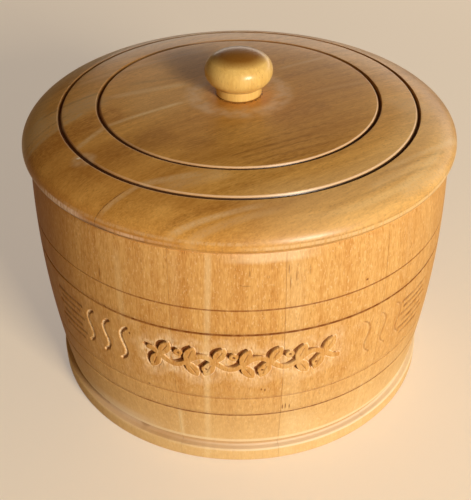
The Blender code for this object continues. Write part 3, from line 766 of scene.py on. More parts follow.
def side_levels(carved):
    """Levels of the rows up the side: close together in the lines and in the carved band."""
    top = BODY_HEIGHT - MOUTH_EASE
    rows = int((top - COVE_TOP_LEVEL) / SIDE_STEP)
    levels = [top + (COVE_TOP_LEVEL - top) * row / rows for row in range(rows + 1)]
    if carved:
        levels = [z for z in levels if not CARVED_BAND[0] < z < CARVED_BAND[1]]
        rows = int((CARVED_BAND[1] - CARVED_BAND[0]) / CARVED_STEP)
        levels += [CARVED_BAND[0] + CARVED_STEP * row for row in range(rows + 1)]
    for middle, width, _ in TURNED_LINES:
        levels = [z for z in levels if abs(z - middle) > width * LINE_CLEAR]
        levels += [middle + width * share for share in LINE_ROWS]
    return sorted(levels, reverse=True)


print("radius at the foot, belly and mouth:",
      [round(body_radius(z) / MM, 1) for z in (COVE_TOP_LEVEL, BELLY_LEVEL, BODY_HEIGHT)], "mm")

# %% [markdown]
# Round the side come the eased mouth, the bore with the groove that holds the floor, and a foot set off by
# a small cove. The floor gets a little room in its groove, as a real one does so that it can swell.

# %% Body section
BORE_RADIUS = 95.0 * MM
FOOT_HEIGHT = 8.2 * MM
FOOT_PROJECTION = 2.4 * MM
FOOT_EASE = 0.9 * MM
COVE_DEPTH = 1.2 * MM
COVE_STEPS = 8
BASE_LEVEL, BASE_TOP = (corner.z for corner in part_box("base_board_2"))
BASE_TONGUE = 3.0 * MM
SEAT_GAP = 0.3 * MM


def body_section(carved):
    """Section of the wall, down its outer side and back up the bore."""
    mouth_radius = body_radius(BODY_HEIGHT)
    cove_radius = body_radius(COVE_TOP_LEVEL)
    foot_radius = cove_radius + FOOT_PROJECTION
    groove_radius = BORE_RADIUS + BASE_TONGUE
    section = rounded(BORE_RADIUS + MOUTH_EASE, BODY_HEIGHT - MOUTH_EASE, MOUTH_EASE, 180)
    section += rounded(mouth_radius - MOUTH_EASE, BODY_HEIGHT - MOUTH_EASE, MOUTH_EASE, 90)
    section += [(body_radius(z) - line_cut(z), z) for z in side_levels(carved)[1:]]
    cove_middle = (FOOT_HEIGHT + COVE_TOP_LEVEL) / 2
    cove = (COVE_DEPTH, COVE_TOP_LEVEL - cove_middle)
    section += arc((cove_radius, cove_middle), cove, 90, 270, COVE_STEPS)[1:]
    section += rounded(foot_radius - FOOT_EASE, FOOT_HEIGHT - FOOT_EASE, FOOT_EASE, 90)
    section += rounded(foot_radius - FOOT_EASE, FOOT_EASE, FOOT_EASE, 0)
    section += [
        (BORE_RADIUS, 0),
        (BORE_RADIUS, BASE_LEVEL - SEAT_GAP),
        (groove_radius, BASE_LEVEL - SEAT_GAP),
        (groove_radius, BASE_TOP + SEAT_GAP),
        (BORE_RADIUS, BASE_TOP + SEAT_GAP),
    ]
    return section


print("body section:", len(body_section(False)), "points plain and", len(body_section(True)), "carved")

# %% [markdown]
# ## What the carver cut
# The band between the lines is carved. On each side three wavy strokes rise like steam, cut with a small
# gouge, and beyond them lie a few short level strokes. The middle holds a raised vine: its stem, leaves
# and berries keep the barrel's own surface, and the ground round them is cut away, deepest close to the
# left of each form, and fades out a few millimetres off. All of it is described on the unrolled wall, with
# u the distance round the barrel from its front and z the level, both in millimetres. A signed distance to
# each form then says how deep any point lies.

# %% Distances to carved forms
def smooth(share):
    """0 below 0, 1 above 1, and an S curve between."""
    share = np.clip(share, 0, 1)
    return share * share * (3 - 2 * share)


def along_path(u, z, path, reach=9.0):
    """Distance from each point to a path of straight pieces, looked for within a reach of it."""
    nearest = np.full(u.shape, reach)
    for (u0, z0), (u1, z1) in zip(path, path[1:]):
        du, dz = u1 - u0, z1 - z0
        close = np.abs(u - (u0 + u1) / 2) < reach + abs(du) / 2
        from_u, from_z = u[close] - u0, z[close] - z0
        share = np.clip((from_u * du + from_z * dz) / (du * du + dz * dz), 0, 1)
        nearest[close] = np.minimum(nearest[close], np.hypot(from_u - share * du, from_z - share * dz))
    return nearest


def leaf(u, z, base, tip, half_width):
    """Signed distance to an almond: what two equal circles share, negative inside."""
    length = np.hypot(*(tip - base))
    side = np.array([-(tip - base)[1], (tip - base)[0]]) / length
    radius = (length ** 2 / 4 + half_width ** 2) / (2 * half_width)
    middle = (base + tip) / 2
    distances = [np.hypot(u - c[0], z - c[1]) for c in
                 (middle + side * (radius - half_width), middle - side * (radius - half_width))]
    return np.maximum(*distances) - radius


print("smooth(0.25) is", float(smooth(0.25)))

# %% [markdown]
# The wavy stroke is a chain of nine points with a smooth curve run through them; the three at the right
# are its mirror image. The vine's stem is a sine wave. At each crossing of its middle one leaf follows the
# stem outwards and another stands up on the other side, and every hollow holds a berry with an eye. The
# forms are worked out once and kept.

# %% Wavy strokes and vine
WAVE_POINTS = ((2.6, 81.8), (0.4, 80.0), (-1.0, 77.2), (-0.9, 74.0), (0.1, 70.9),
               (1.1, 67.8), (1.2, 65.2), (0.1, 62.4), (-2.1, 60.3))
WAVE_AZIMUTHS = (-42.4, -36.7, -31.0, 34.3, 40.1, 46.2)
LEVEL_STROKE_ENDS = ((-56.8, -45.6), (47.4, 60.0))
LEVEL_STROKE_LEVELS = (79.8, 75.7, 71.4, 66.4, 62.1, 57.6)
VINE_CENTRE = 2.0
VINE_MIDDLE = 71.2
VINE_SWING = 3.6
VINE_PITCH = 26.4
VINE_END = 46.0
OUTWARD_LEAF, UPRIGHT_LEAF = (5.2, 8.6), (4.2, 10.2)
OUTWARD_SETBACK, UPRIGHT_SETBACK = 1, 1.5
LEAF_HALF_WIDTH = 2.7
BERRY_ASIDE, BERRY_OFF_MIDDLE = 1.6, 4.2
BERRY_RADIUS = 2.1
EYE_RADIUS = 0.8
STEM_HALF_WIDTH = 1.3
STEM_STEPS = 120


def curve_through(points, steps=6):
    """A smooth path through points, each span a cubic that leans on its neighbours."""
    points = [np.array(p, float) for p in points]
    ends = [2 * points[0] - points[1]] + points + [2 * points[-1] - points[-2]]
    path = []
    for a, b, c, d in zip(ends, ends[1:], ends[2:], ends[3:]):
        for step in range(steps):
            t = step / steps
            path.append(0.5 * (2 * b + (c - a) * t + (2 * a - 5 * b + 4 * c - d) * t ** 2
                               + (3 * b - a - 3 * c + d) * t ** 3))
    return path + [points[-1]]


def stem_point(place):
    """A point on the vine's stem."""
    swing = VINE_SWING * math.sin(2 * math.pi * place / VINE_PITCH)
    return np.array((VINE_CENTRE + place, VINE_MIDDLE + swing))


def vine_forms():
    """The stem as a path, the leaves as (base, tip) and the middles of the berries."""
    stem = [stem_point(VINE_END * (2 * step / STEM_STEPS - 1)) for step in range(STEM_STEPS + 1)]
    leaves, berries = [], []
    crossings = int(VINE_END / (VINE_PITCH / 2))
    for crossing in range(-crossings, crossings + 1):
        place = crossing * VINE_PITCH / 2
        rise = 1 if crossing % 2 == 0 else -1
        outward, upright = stem_point(place - OUTWARD_SETBACK), stem_point(place - UPRIGHT_SETBACK)
        leaves.append((outward, outward + np.array((OUTWARD_LEAF[0], -rise * OUTWARD_LEAF[1]))))
        leaves.append((upright, upright + rise * np.array(UPRIGHT_LEAF)))
        if crossing < crossings:
            berries.append(np.array((VINE_CENTRE + place + VINE_PITCH / 4 + BERRY_ASIDE,
                                     VINE_MIDDLE - rise * BERRY_OFF_MIDDLE)))
    return stem, leaves, berries


WAVES = []
for azimuth in WAVE_AZIMUTHS:
    middle = math.radians(azimuth) * UNROLL_RADIUS
    side = 1 if azimuth < 0 else -1
    WAVES.append(curve_through([(middle + side * u, z) for u, z in WAVE_POINTS]))
STEM, LEAVES, BERRIES = vine_forms()
print(len(WAVES), "waves,", len(LEAVES), "leaves,", len(BERRIES), "berries")

# %% [markdown]
# The depth of a cut is a function of the distance to a form. The gouged strokes have a round bottom. The
# wavy ones get painted shade on their shaded side and a painted highlight, pale like bare wood, on their lit
# side, and those at the right are worn half away. The level ones are shallow and darkened unevenly.

# %% Wavy and level strokes
WAVE_HALF_WIDTH, WAVE_DEPTH, WAVE_SHADE = 1.1, 1.1, 0.70
RIGHT_WAVES_LEFT = 0.45
LEAN_REACH = 0.4
LEVEL_STROKE_HALF_WIDTH, LEVEL_STROKE_DEPTH, LEVEL_STROKE_INSET = 1.35, 0.4, 2.6


def stroke_marks(u, z, slow, chips):
    """Depth in millimetres, tooled share and stained share, painted light and shade on the wavy strokes."""
    depth, tooled_and_lit, stain_and_shade = np.zeros(u.shape), np.zeros(u.shape), np.zeros(u.shape)
    for wave in WAVES:
        share = np.clip(along_path(u, z, wave) / WAVE_HALF_WIDTH, 0, 1)
        lean = along_path(u + LEAN_REACH, z, wave) - along_path(u - LEAN_REACH, z, wave)
        right = smooth(0.5 + lean)
        inside = smooth((1 - share) * 2.5)
        left_over = 1.0 if wave[0][0] < 0 else RIGHT_WAVES_LEFT
        depth = np.maximum(depth, left_over * WAVE_DEPTH * (1 - share ** 1.5))
        # Painted shade on each wavy stroke's shaded side, and below a painted highlight, as pale tooled
        # wood, on its lit side
        stain_and_shade = np.maximum(stain_and_shade, left_over * WAVE_SHADE * inside * right)
        tooled_and_lit = np.maximum(tooled_and_lit, left_over ** 2 * inside * (1 - right))
    for low, high in LEVEL_STROKE_ENDS:
        ends = [math.radians(azimuth) * UNROLL_RADIUS for azimuth in (low, high)]
        for number, level in enumerate(LEVEL_STROKE_LEVELS):
            inset = LEVEL_STROKE_INSET * (number % 2)
            share = along_path(u, z, [(ends[0] + inset, level), (ends[1] - inset, level)])
            share = np.clip(share / LEVEL_STROKE_HALF_WIDTH, 0, 1)
            depth = np.maximum(depth, LEVEL_STROKE_DEPTH * (1 - share ** 2))
            stain_and_shade = np.maximum(stain_and_shade, (0.42 + 0.30 * slow + 0.2 * chips) * smooth((1 - share) * 1.6))
    return depth, tooled_and_lit, stain_and_shade


print("deepest stroke:", max(WAVE_DEPTH, LEVEL_STROKE_DEPTH), "mm")

# %% [markdown]
# The vine has a fine outline, with shallow ground that runs out a few millimetres off and is dusted pale.
# The one deep cut lies between each form and the same form shifted a little to the left and up, as a carver
# who works from one side leaves it, and it is darkened as a painted shadow of the form. The berries' eyes
# are drilled and darkened as painted shade, and each leaf has a fine vein that is darkened too.

# %% Ground and cuts round the vine
CUT_SHIFT, CUT_DEPTH, CUT_EDGE, CUT_SHADOW = (1.8, -1.15), 1.5, 0.24, 0.86
OUTLINE_DEPTH, OUTLINE_HALF_WIDTH = 0.3, 0.45
GROUND_DEPTH, GROUND_REACH = 0.3, 4.5
DUST_START, DUST_REACH = 2.5, 6.0
VEIN_HALF_WIDTH, VEIN_DEPTH, VEIN_DARKENING = 0.4, 0.35, 0.5
EYE_DEPTH, EYE_EDGE, EYE_SHADE = 1.0, 0.4, 0.85


def form_edges(u, z):
    """Signed distance to the raised vine, and to the eyes of its berries."""
    edge = along_path(u, z, STEM) - STEM_HALF_WIDTH
    eye = np.full(u.shape, 1e9)
    for base, tip in LEAVES:
        edge = np.minimum(edge, leaf(u, z, base, tip, LEAF_HALF_WIDTH))
    for middle in BERRIES:
        from_middle = np.hypot(u - middle[0], z - middle[1])
        edge = np.minimum(edge, from_middle - BERRY_RADIUS)
        eye = np.minimum(eye, from_middle - EYE_RADIUS)
    return edge, eye


def vine_marks(u, z, slow, chips):
    """Depth in millimetres, tooled share, and stained share with painted shadow, that the vine gives."""
    edge, eye = form_edges(u, z)
    shifted = form_edges(u + CUT_SHIFT[0], z + CUT_SHIFT[1])[0]
    off_form = smooth(edge / CUT_EDGE)
    drilled = smooth(-eye / EYE_EDGE)
    cut = off_form * smooth(-shifted / CUT_EDGE + 0.3 * chips)
    outline = smooth(1 - np.abs(edge - OUTLINE_HALF_WIDTH) / OUTLINE_HALF_WIDTH)
    ground = GROUND_DEPTH * off_form * smooth(1 - edge / GROUND_REACH)
    depth = np.maximum(ground * (1 + 0.8 * chips) + OUTLINE_DEPTH * outline, EYE_DEPTH * drilled)
    depth = np.maximum(depth, CUT_DEPTH * cut * (1 + 0.3 * slow))
    dusty = smooth(1 - (edge - DUST_START + 5 * slow) / DUST_REACH) * (0.25 + 0.6 * smooth(0.5 + 1.5 * slow))
    dusty *= np.interp(u, (-30, 30), (1.0, 0.5))
    tooled_and_lit = off_form * np.maximum(outline, dusty)
    # Painted shadow in the deep cut beside each form, and painted shade in the berries' eyes
    stain_and_shade = np.maximum(CUT_SHADOW * cut, EYE_SHADE * drilled)
    for base, tip in LEAVES:
        share = along_path(u, z, [base * 0.7 + tip * 0.3, base * 0.25 + tip * 0.75]) / VEIN_HALF_WIDTH
        vein = np.clip(1 - share, 0, 1)
        depth = np.maximum(depth, VEIN_DEPTH * vein)
        stain_and_shade = np.maximum(stain_and_shade, VEIN_DARKENING * vein)
    return depth, tooled_and_lit, stain_and_shade


print("deepest cut round the vine:", CUT_DEPTH, "mm")

# %% [markdown]
# A hand never cuts quite evenly: one slow noise makes the ground waver, and one that is longer along the
# grain than across it chips it. Where strokes and vine meet, the larger value holds, and what is darkened
# doesn't show bare wood.

# %% Depth of the carving
WAVER_SIZE, CHIP_WIDTH, CHIP_LENGTH = 6, 0.9, 2.4


def carved_depth(u, z):
    """Depth in millimetres at unrolled points, and shares of tooled wood and stain, with painted light and
    shade.
    """
    slow = np.array([noise.noise(Vector((a / WAVER_SIZE, b / WAVER_SIZE, 0))) for a, b in zip(u, z)])
    chips = np.array([noise.noise(Vector((a / CHIP_WIDTH, b / CHIP_LENGTH, 9))) for a, b in zip(u, z)])
    depth, tooled_and_lit, stain_and_shade = [np.maximum(stroke, vine) for stroke, vine in zip(
        stroke_marks(u, z, slow, chips), vine_marks(u, z, slow, chips))]
    return depth, tooled_and_lit * (1 - stain_and_shade), stain_and_shade


sample = carved_depth(np.array([0.0, -16.0]), np.array([VINE_MIDDLE, VINE_MIDDLE + 6]))[0]
print("depth on the stem and beside a leaf:", [round(float(d), 2) for d in sample], "mm")

# %% [markdown]
# ## The staves
# Each stave is the wall's section spun through a thirteenth of a turn, less half a glue line at either
# side, with its two glued faces filled in. A carved stave has many more columns and rows, so that its
# vertices can simply be pushed in by the depth worked out above; at a fifth of a millimetre apart they
# draw a crisp edge. Where a vertex lies is also what tells the wood that it is tooled or darkened, and
# where the carving's painted light and painted shade lie.

# %% Turn and carve the staves
STAVE_COUNT = 13
STAVE_ANGLE = 2 * math.pi / STAVE_COUNT
FRONT_JOINT_ANGLE = math.radians(-79.2)
GLUE_LINE = 0.12 * MM
STAVE_STEPS = 12
PLAIN_CUTS = 1
CARVED_CUTS = 19
CARVED_STAVES = (12, 13, 1, 2, 3)
WALL_MIDDLE = BORE_RADIUS + 5 * MM

# From 0, warm and deep, to 1, pale, for staves 1 to 13
STAVE_TONES = (0.42, 0.66, 0.50, 0.35, 0.58, 0.44, 0.62, 0.40, 0.55, 0.48, 0.60, 0.45, 0.55)


def turn_stave(start, carved):
    """One stave: the wall's section spun between two glue lines, with its faces filled in."""
    stave = bmesh.new()
    ease = GLUE_LINE / 2 / BELLY_RADIUS
    draw_section(stave, body_section(carved), closed=True, turn=start + ease)
    cuts = CARVED_CUTS if carved else PLAIN_CUTS
    turn_finely(stave, start + ease, STAVE_ANGLE - 2 * ease, STAVE_STEPS, cuts)
    bmesh.ops.holes_fill(stave, edges=[e for e in stave.edges if e.is_boundary], sides=0)
    bmesh.ops.recalc_face_normals(stave, faces=stave.faces)
    return stave


def carve(piece):
    """Push the outer surface in by the carving's depth, and note tooling, stain, painted light and painted
    shade.
    """
    data = piece.data
    points = vertex_places(data)
    radius, level = np.hypot(points[:, 0], points[:, 1]), points[:, 2]
    outside = (radius > WALL_MIDDLE) & (level > CARVED_BAND[0]) & (level < CARVED_BAND[1])
    around = np.arctan2(points[outside, 0], -points[outside, 1]) * UNROLL_RADIUS
    depth, tooled_and_lit, stain_and_shade = carved_depth(around, points[outside, 2] / MM)
    points[outside, :2] *= (1 - depth * MM / radius[outside])[:, None]
    data.vertices.foreach_set("co", points.ravel())
    for name, values in (("tooled_and_lit", tooled_and_lit), ("stain_and_shade", stain_and_shade)):
        share = np.zeros(len(points))
        share[outside] = values
        add_shares(data, name, share)
    data.update()
    return float(depth.max())


for number in range(1, STAVE_COUNT + 1):
    start = FRONT_JOINT_ANGLE + (number - 2) * STAVE_ANGLE
    middle = start + STAVE_ANGLE / 2
    outward = (math.cos(middle), math.sin(middle), 0)
    sideways = (-math.sin(middle), math.cos(middle), 0)
    carved = number in CARVED_STAVES
    stave = finish_piece(
        f"turned_stave_{number:02d}", turn_stave(start, carved), stave_wood, "barrel",
        f"stave_{number:02d}", (sideways, outward, (0, 0, 1)), number, STAVE_TONES[number - 1])
    deepest = carve(stave) if carved else 0.0
    print(stave.name, len(stave.data.vertices), "vertices, cut", round(deepest, 2), "mm deep")

# %% [markdown]
# ## The floor boards
# Three plain boards lie in a groove round the inside of the staves. They start as a thick disc, which two
# straight cuts part; a small bevel breaks their edges as a pass with a plane does. Inside, the wood was
# never varnished, so it is paler and dull.

# %% Base boards
BASE_BOARDS = ("base_board_1", "base_board_2", "base_board_3")
BASE_FACETS = 128
BASE_BEVEL = 0.5 * MM
FLOOR_TONES = (0.5, 0.6, 0.7)


def halved(mesh, offset, across, keep_above):
    """Cut a mesh by an upright plane, keep one side and close the cut."""
    across = Vector(across)
    cut = bmesh.ops.bisect_plane(
        mesh, geom=mesh.verts[:] + mesh.edges[:] + mesh.faces[:], dist=SAME, plane_co=across * offset,
        plane_no=across, clear_inner=keep_above, clear_outer=not keep_above)
    edges = [e for e in cut["geom_cut"] if isinstance(e, bmesh.types.BMEdge)]
    bmesh.ops.holes_fill(mesh, edges=edges, sides=0)


for number, node in enumerate(BASE_BOARDS, start=1):
    low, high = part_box(node)
    board = bmesh.new()
    radius = BORE_RADIUS + BASE_TONGUE - SEAT_GAP
    bmesh.ops.create_cone(board, cap_ends=True, segments=BASE_FACETS, radius1=radius, radius2=radius,
                          depth=BASE_TOP - BASE_LEVEL)
    bmesh.ops.translate(board, vec=(0, 0, (BASE_TOP + BASE_LEVEL) / 2), verts=board.verts)
    if number > 1:
        halved(board, low.x, (1, 0, 0), keep_above=True)
    if number < len(BASE_BOARDS):
        halved(board, high.x, (1, 0, 0), keep_above=False)
    rims = [e for e in board.edges if e.calc_face_angle(0) > SHARP_ANGLE]
    bmesh.ops.bevel(board, geom=rims, offset=BASE_BEVEL, segments=2, profile=0.5, affect="EDGES",
                    material=-1)
    bmesh.ops.recalc_face_normals(board, faces=board.faces)
    piece = finish_piece(f"floor_board_{number}", board, base_wood, "barrel", node,
                         ((1, 0, 0), (0, 0, 1), (0, 1, 0)), FLOOR_NUMBERS + number,
                         FLOOR_TONES[number - 1])
    print(piece.name, len(piece.data.vertices), "vertices")

# %% [markdown]
# ## The lid
# The lid is turned too: a crown that stays nearly flat and rolls over at the rim, a spigot below that drops
# into the mouth, and two decorative grooves on top. A superellipse draws the crown with one number for how
# late it turns over. A groove has a sloping inner wall, a flat floor and a steep outer wall.

# %% Crown and ring grooves
LID_RADIUS = max(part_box("lid_board_1")[1].x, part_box("lid_board_2")[1].x)
LID_CROWN = 17.3 * MM
LID_CROWN_POWER = 3.8
LID_SEAT_LEVEL = BODY_HEIGHT + SEAT_GAP
RIM_LEVEL = LID_SEAT_LEVEL + 4.2 * MM
RING_GROOVE_RADII = [radius * MM for radius in LID_GROOVE_RADII]
RING_GROOVE_WIDTH = 2.3 * MM
RING_GROOVE_FLOOR = 1.0 * MM
RING_GROOVE_DEPTH = 1.9 * MM
RING_GROOVE_OUTER_SLOPE = 0.3 * MM
RING_GROOVE_EASES = (0.35 * MM, 0.25 * MM, 0.2 * MM, 0.12 * MM)
RING_GROOVE_LEAD = 1 * MM


def crown_level(radius):
    """Height of the lid's top before its grooves are cut."""
    return RIM_LEVEL + LID_CROWN * math.sqrt(max(0.0, 1 - (radius / LID_RADIUS) ** LID_CROWN_POWER))


def ring_groove(radius):
    """A groove with a sloping inner wall, a flat floor and a steep outer wall, its corners eased."""
    inner_edge = radius - RING_GROOVE_WIDTH / 2
    outer_edge = radius + RING_GROOVE_WIDTH / 2
    floor_end = outer_edge - RING_GROOVE_OUTER_SLOPE
    floor = crown_level(radius) - RING_GROOVE_DEPTH
    before, after = inner_edge - RING_GROOVE_LEAD, outer_edge + RING_GROOVE_LEAD
    on_crown = [(r, crown_level(r)) for r in (before, inner_edge, outer_edge, after)]
    corners = on_crown[:2] + [(floor_end - RING_GROOVE_FLOOR, floor), (floor_end, floor)] + on_crown[2:]
    section = []
    for number, ease in enumerate(RING_GROOVE_EASES, start=1):
        section += eased(corners[number - 1], corners[number], corners[number + 1], ease, steps=4)
    return section


print("a ring groove has", len(ring_groove(RING_GROOVE_RADII[0])), "points")

# %% [markdown]
# Beyond the outer groove the crown rolls over the rim and tucks in below it. The lid then sits on the mouth,
# its spigot drops inside, and a countersunk hole in the middle takes the screw.

# %% Lid section
LID_OVERHANG = 3.3 * MM
RIM_TUCK_ANGLE = math.radians(58)
SPIGOT_FACE_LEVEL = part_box("lid_board_2")[0].z
SPIGOT_RADIUS = BORE_RADIUS - 0.8 * MM
SPIGOT_EASE = 1 * MM
SCREW_HOLE_RADIUS = 2.4 * MM
SCREW_HEAD_HEIGHT = 2.1 * MM

# What is left plain on either side of a ring groove's walls
RING_GROOVE_MARGIN = 1.2 * MM
TOP_POINTS, RING_POINTS, SHOULDER_POINTS, TUCK_POINTS = 24, 6, 24, 8


def lid_section():
    """Section of the lid, out over the crown, round the rim and back along the spigot to the screw hole."""
    inner, outer = RING_GROOVE_RADII
    half = RING_GROOVE_WIDTH / 2 + RING_GROOVE_MARGIN
    section = []
    for low, high, steps, groove in ((SCREW_HOLE_RADIUS, inner - half, TOP_POINTS, inner),
                                     (inner + half, outer - half, RING_POINTS, outer)):
        radii = [low + (high - low) * step / steps for step in range(steps + 1)]
        section += [(r, crown_level(r)) for r in radii] + ring_groove(groove)
    begin = math.acos(((outer + half) / LID_RADIUS) ** (LID_CROWN_POWER / 2))
    for step in range(SHOULDER_POINTS + 1):
        angle = begin * (1 - step / SHOULDER_POINTS)
        section.append((LID_RADIUS * math.cos(angle) ** (2 / LID_CROWN_POWER),
                        RIM_LEVEL + LID_CROWN * math.sin(angle)))
    for step in range(1, TUCK_POINTS + 1):
        angle = RIM_TUCK_ANGLE * step / TUCK_POINTS
        drawn_in = (1 - math.cos(angle)) / (1 - math.cos(RIM_TUCK_ANGLE))
        dropped = math.sin(angle) / math.sin(RIM_TUCK_ANGLE)
        section.append((LID_RADIUS - LID_OVERHANG * drawn_in,
                        RIM_LEVEL - (RIM_LEVEL - LID_SEAT_LEVEL) * dropped))
    spigot_root, spigot_edge = (SPIGOT_RADIUS, LID_SEAT_LEVEL), (SPIGOT_RADIUS, SPIGOT_FACE_LEVEL)
    section.append(spigot_root)
    section += eased(spigot_root, spigot_edge, (0, SPIGOT_FACE_LEVEL), SPIGOT_EASE, steps=5)
    section += [
        (SCREW_HOLE_RADIUS + SCREW_HEAD_HEIGHT + SEAT_GAP, SPIGOT_FACE_LEVEL),
        (SCREW_HOLE_RADIUS, SPIGOT_FACE_LEVEL + SCREW_HEAD_HEIGHT + SEAT_GAP),
    ]
    return section


print("lid section:", len(lid_section()), "points, out to", round(LID_RADIUS / MM, 1), "mm")

# %% [markdown]
# The whole lid is spun once and then parted along the glue lines of its boards. These lie at an angle to the
# front, because a round lid can be put on any way round. A fine gap is left where two boards meet, which
# draws the joint as a thin dark line.

# %% Spin the lid and part its boards
LID_FRONT_BOARD = 70.1 * MM
LID_BACK_BOARD = 26.1 * MM
LID_GLUE_LINE = 0.05 * MM
LID_STEPS = 24
LID_CUTS = 11
LID_TONES = (0.62, 0.46, 0.40, 0.58)

front_joint, back_joint = LID_RADIUS - LID_FRONT_BOARD, LID_BACK_BOARD - LID_RADIUS
lid_joints = (front_joint, (front_joint + back_joint) / 2, back_joint)

whole_lid = bmesh.new()
draw_section(whole_lid, lid_section(), closed=True)
turn_finely(whole_lid, 0.0, 2 * math.pi, LID_STEPS, LID_CUTS)
bmesh.ops.remove_doubles(whole_lid, verts=whole_lid.verts, dist=WELD)
bmesh.ops.recalc_face_normals(whole_lid, faces=whole_lid.faces)
for number in range(1, len(lid_joints) + 2):
    board = whole_lid.copy()
    if number > 1:
        halved(board, lid_joints[number - 2] - LID_GLUE_LINE / 2, LID_ACROSS, keep_above=False)
    if number <= len(lid_joints):
        halved(board, lid_joints[number - 1] + LID_GLUE_LINE / 2, LID_ACROSS, keep_above=True)
    piece = finish_piece(f"turned_lid_board_{number}", board, lid_wood, "lid",
                         f"lid_board_{number}", (LID_ACROSS, (0, 0, 1), LID_ALONG), LID_NUMBERS + number,
                         LID_TONES[number - 1])
    print(piece.name, len(piece.data.vertices), "vertices")
whole_lid.free()

# %% [markdown]
# ## The knob
# A flattened ball on a short collar, turned in one piece with its grain upright, so its top shows darker
# end grain. The ball is a superellipse again, a little squarer than a true ellipse; a fine line is cut
# where it meets the collar.

# %% Knob
KNOB_LOW, KNOB_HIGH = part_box("knob")
KNOB_RADIUS = KNOB_HIGH.x
KNOB_HEAD_HEIGHT = 19.7 * MM
KNOB_ROUNDNESS = 2.2
COLLAR_RADIUS = 11.5 * MM
COLLAR_HEIGHT = 4.7 * MM
COLLAR_EASE = 0.9 * MM
SEAM_LINE, SEAM_LIP = 0.35 * MM, 0.1 * MM
PILOT_RADIUS = 2.1 * MM
PILOT_TOP = 167.0 * MM
UPPER_POINTS, LOWER_POINTS, KNOB_COLUMNS = 28, 12, 120
KNOB_TONE = 0.75


def knob_section():
    """Half section of the knob, down from its top, round the collar and up the pilot hole."""
    drop = KNOB_HEAD_HEIGHT / 2
    middle = KNOB_HIGH.z - drop
    power = 2 / KNOB_ROUNDNESS
    seam_drop = KNOB_HIGH.z - drop - (KNOB_LOW.z + COLLAR_HEIGHT)
    seam_angle = math.asin((seam_drop / drop) ** (1 / power))
    section = []
    for step in range(UPPER_POINTS + 1):
        angle = math.pi / 2 * (1 - step / UPPER_POINTS)
        section.append((KNOB_RADIUS * math.cos(angle) ** power, middle + drop * math.sin(angle) ** power))
    for step in range(1, LOWER_POINTS + 1):
        angle = seam_angle * step / LOWER_POINTS
        section.append((KNOB_RADIUS * math.cos(angle) ** power, middle - drop * math.sin(angle) ** power))
    seam = middle - seam_drop
    section.append((COLLAR_RADIUS - SEAM_LINE, seam - SEAM_LINE / 2))
    section.append((COLLAR_RADIUS - SEAM_LIP, seam - SEAM_LINE))
    section += rounded(COLLAR_RADIUS - COLLAR_EASE, KNOB_LOW.z + COLLAR_EASE, COLLAR_EASE, 0)
    section += [(PILOT_RADIUS, KNOB_LOW.z), (PILOT_RADIUS, PILOT_TOP), (0, PILOT_TOP + PILOT_RADIUS / 2)]
    return section


knob = bmesh.new()
draw_section(knob, knob_section(), closed=False)
bmesh.ops.spin(knob, geom=knob.verts[:] + knob.edges[:], axis=(0, 0, 1), cent=(0, 0, 0),
               angle=2 * math.pi, steps=KNOB_COLUMNS, use_merge=True, use_duplicate=False)
bmesh.ops.remove_doubles(knob, verts=knob.verts, dist=WELD)
bmesh.ops.recalc_face_normals(knob, faces=knob.faces)
knob = finish_piece("turned_knob", knob, knob_wood, "lid", "knob",
                    ((1, 0, 0), (0, 1, 0), (0, 0, 1)), KNOB_NUMBER, KNOB_TONE)
print(knob.name, len(knob.data.vertices), "vertices")

# %% [markdown]
# ## The screw
# The countersunk screw shows only when the lid is lifted and turned over. Its solid in the frame is right
# as it is, so it stays and only gets its metal: steel with a thin yellow passivation, brushed round by the
# machine that made it.

# %% Yellow-passivated steel
BRUSHING_PER_METRE = (900, 900, 9000)


def passivated_steel(name):
    """Zinc-plated steel with a yellow tint and a faint turned brushing."""
    material, tree, shader = new_material(name)
    place = add_node(tree, "ShaderNodeTexCoord").outputs["Object"]
    turned = add_node(tree, "ShaderNodeVectorMath", {0: place, 1: BRUSHING_PER_METRE}, operation="MULTIPLY")
    brushing = add_node(tree, "ShaderNodeTexNoise", {
        "Vector": turned.outputs[0], "Scale": 1.0, "Detail": 3.0}).outputs["Fac"]
    tree.links.new(washed(tree, linear("#E2D6A8"), "#B9A56A", brushing), shader.inputs["Base Color"])
    roughness = within(tree, ramp(brushing, 0.0, 1.0, 0.25, 0.45))
    tree.links.new(roughness, shader.inputs["Roughness"])
    shader.inputs["Metallic"].default_value = 1.0
    return material


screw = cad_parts["knob_screw"]
screw.data.materials.clear()
screw.data.materials.append(passivated_steel("yellow_passivated_steel"))
print("screw keeps its solid, with", screw.data.materials[0].name)

# %% [markdown]
# ## The floor
# A pale plain floor keeps the studio quiet. More light on it would also brighten the barrel, so the floor
# shines a little by itself instead: in what the camera sees, and less in what a polished or clear surface
# mirrors. It still takes the barrel's shadow.

# %% Floor
FLOOR_HALF_SIZE = 4.0
FLOOR_DROP = 0.1 * MM
FLOOR_LIFT, MIRRORED_LIFT = 0.30, 0.06

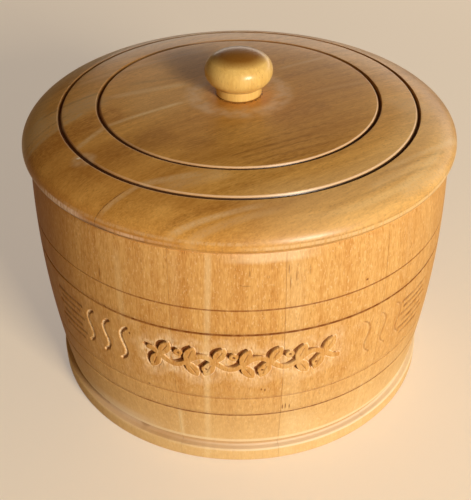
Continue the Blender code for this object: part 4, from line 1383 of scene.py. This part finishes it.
floor_mesh = bmesh.new()
bmesh.ops.create_grid(floor_mesh, x_segments=1, y_segments=1, size=FLOOR_HALF_SIZE)
floor_data = bpy.data.meshes.new("floor")
floor_mesh.to_mesh(floor_data)
floor_mesh.free()
floor = bpy.data.objects.new("floor", floor_data)
floor_paint, tree, shader = new_material("pale_floor_paint")
shader.inputs["Base Color"].default_value = linear("#E2CFAE")
shader.inputs["Roughness"].default_value = 0.9
rays = add_node(tree, "ShaderNodeLightPath").outputs
mirrored = add_node(tree, "ShaderNodeMath", {
    0: rays["Is Glossy Ray"], 1: rays["Is Transmission Ray"]}, operation="MAXIMUM").outputs[0]
lifted = add_node(tree, "ShaderNodeMath", {
    0: mirrored, 1: MIRRORED_LIFT, 2: within(tree, rays["Is Camera Ray"], FLOOR_LIFT)},
    operation="MULTIPLY_ADD")
tree.links.new(lifted.outputs[0], shader.inputs["Emission Strength"])
shader.inputs["Emission Color"].default_value = linear("#FFF8EE")
floor_data.materials.append(floor_paint)
bpy.context.scene.collection.objects.link(floor)
floor.location.z = -FLOOR_DROP
floor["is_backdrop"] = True
print("floor", floor.dimensions.x, "m wide")

# %% [markdown]
# ## Light
# The main panel stands low at the front right, so the side of the barrel is brighter than the top of its
# lid. A small one at the left gives a glint on the varnish and hardly any light, and a wide one behind lays
# a soft sheen on the far rim of the lid. A lamp's power is worked out from how bright a white card would be
# at the barrel, which keeps the levels easy to read.

# %% Light panels
SKY_LEVEL = 0.115
TARGET = Vector((0, 0, 0.08))

# Name, azimuth from the front (right positive), elevation, distance, width, height, the brightness of a
# white card, and colour
PANELS = (
    ("key_panel", 32, 20, 1.5, 0.42, 0.36, 0.97, "#FFF4E2"),
    ("left_panel", -58, 23, 1.4, 0.14, 0.12, 0.015, "#FFE8C8"),
    ("back_panel", 152, 12, 1.2, 2.3, 0.28, 0.33, "#FFF0DE"),
)
for name, azimuth, elevation, distance, width, height, level, colour in PANELS:
    panel = bpy.data.lights.new(name, "AREA")
    panel.shape = "RECTANGLE"
    panel.size = width
    panel.size_y = height
    panel.energy = level * math.pi ** 2 * distance ** 2
    panel.color = linear(colour)[:3]
    lamp = bpy.data.objects.new(name, panel)
    turn, rise = math.radians(azimuth), math.radians(elevation)
    direction = Vector((math.sin(turn) * math.cos(rise), -math.cos(turn) * math.cos(rise), math.sin(rise)))
    lamp.location = TARGET + direction * distance
    lamp.rotation_euler = direction.to_track_quat("Z", "Y").to_euler()
    bpy.context.scene.collection.objects.link(lamp)
    print(name, round(panel.energy, 1), "W")

world = bpy.data.worlds.new("soft_sky")
world.use_nodes = True
sky = world.node_tree.nodes["Background"]
sky.inputs["Color"].default_value = linear("#FFD292")
sky.inputs["Strength"].default_value = SKY_LEVEL
bpy.context.scene.world = world
bpy.context.scene.view_settings.view_transform = "Standard"

# %% [markdown]
# ## Measure and finish
# The dressed barrel's size is printed.

# %% Sizes
low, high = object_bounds()
print("dressed size", [round(side / MM, 1) for side in high - low], "mm")
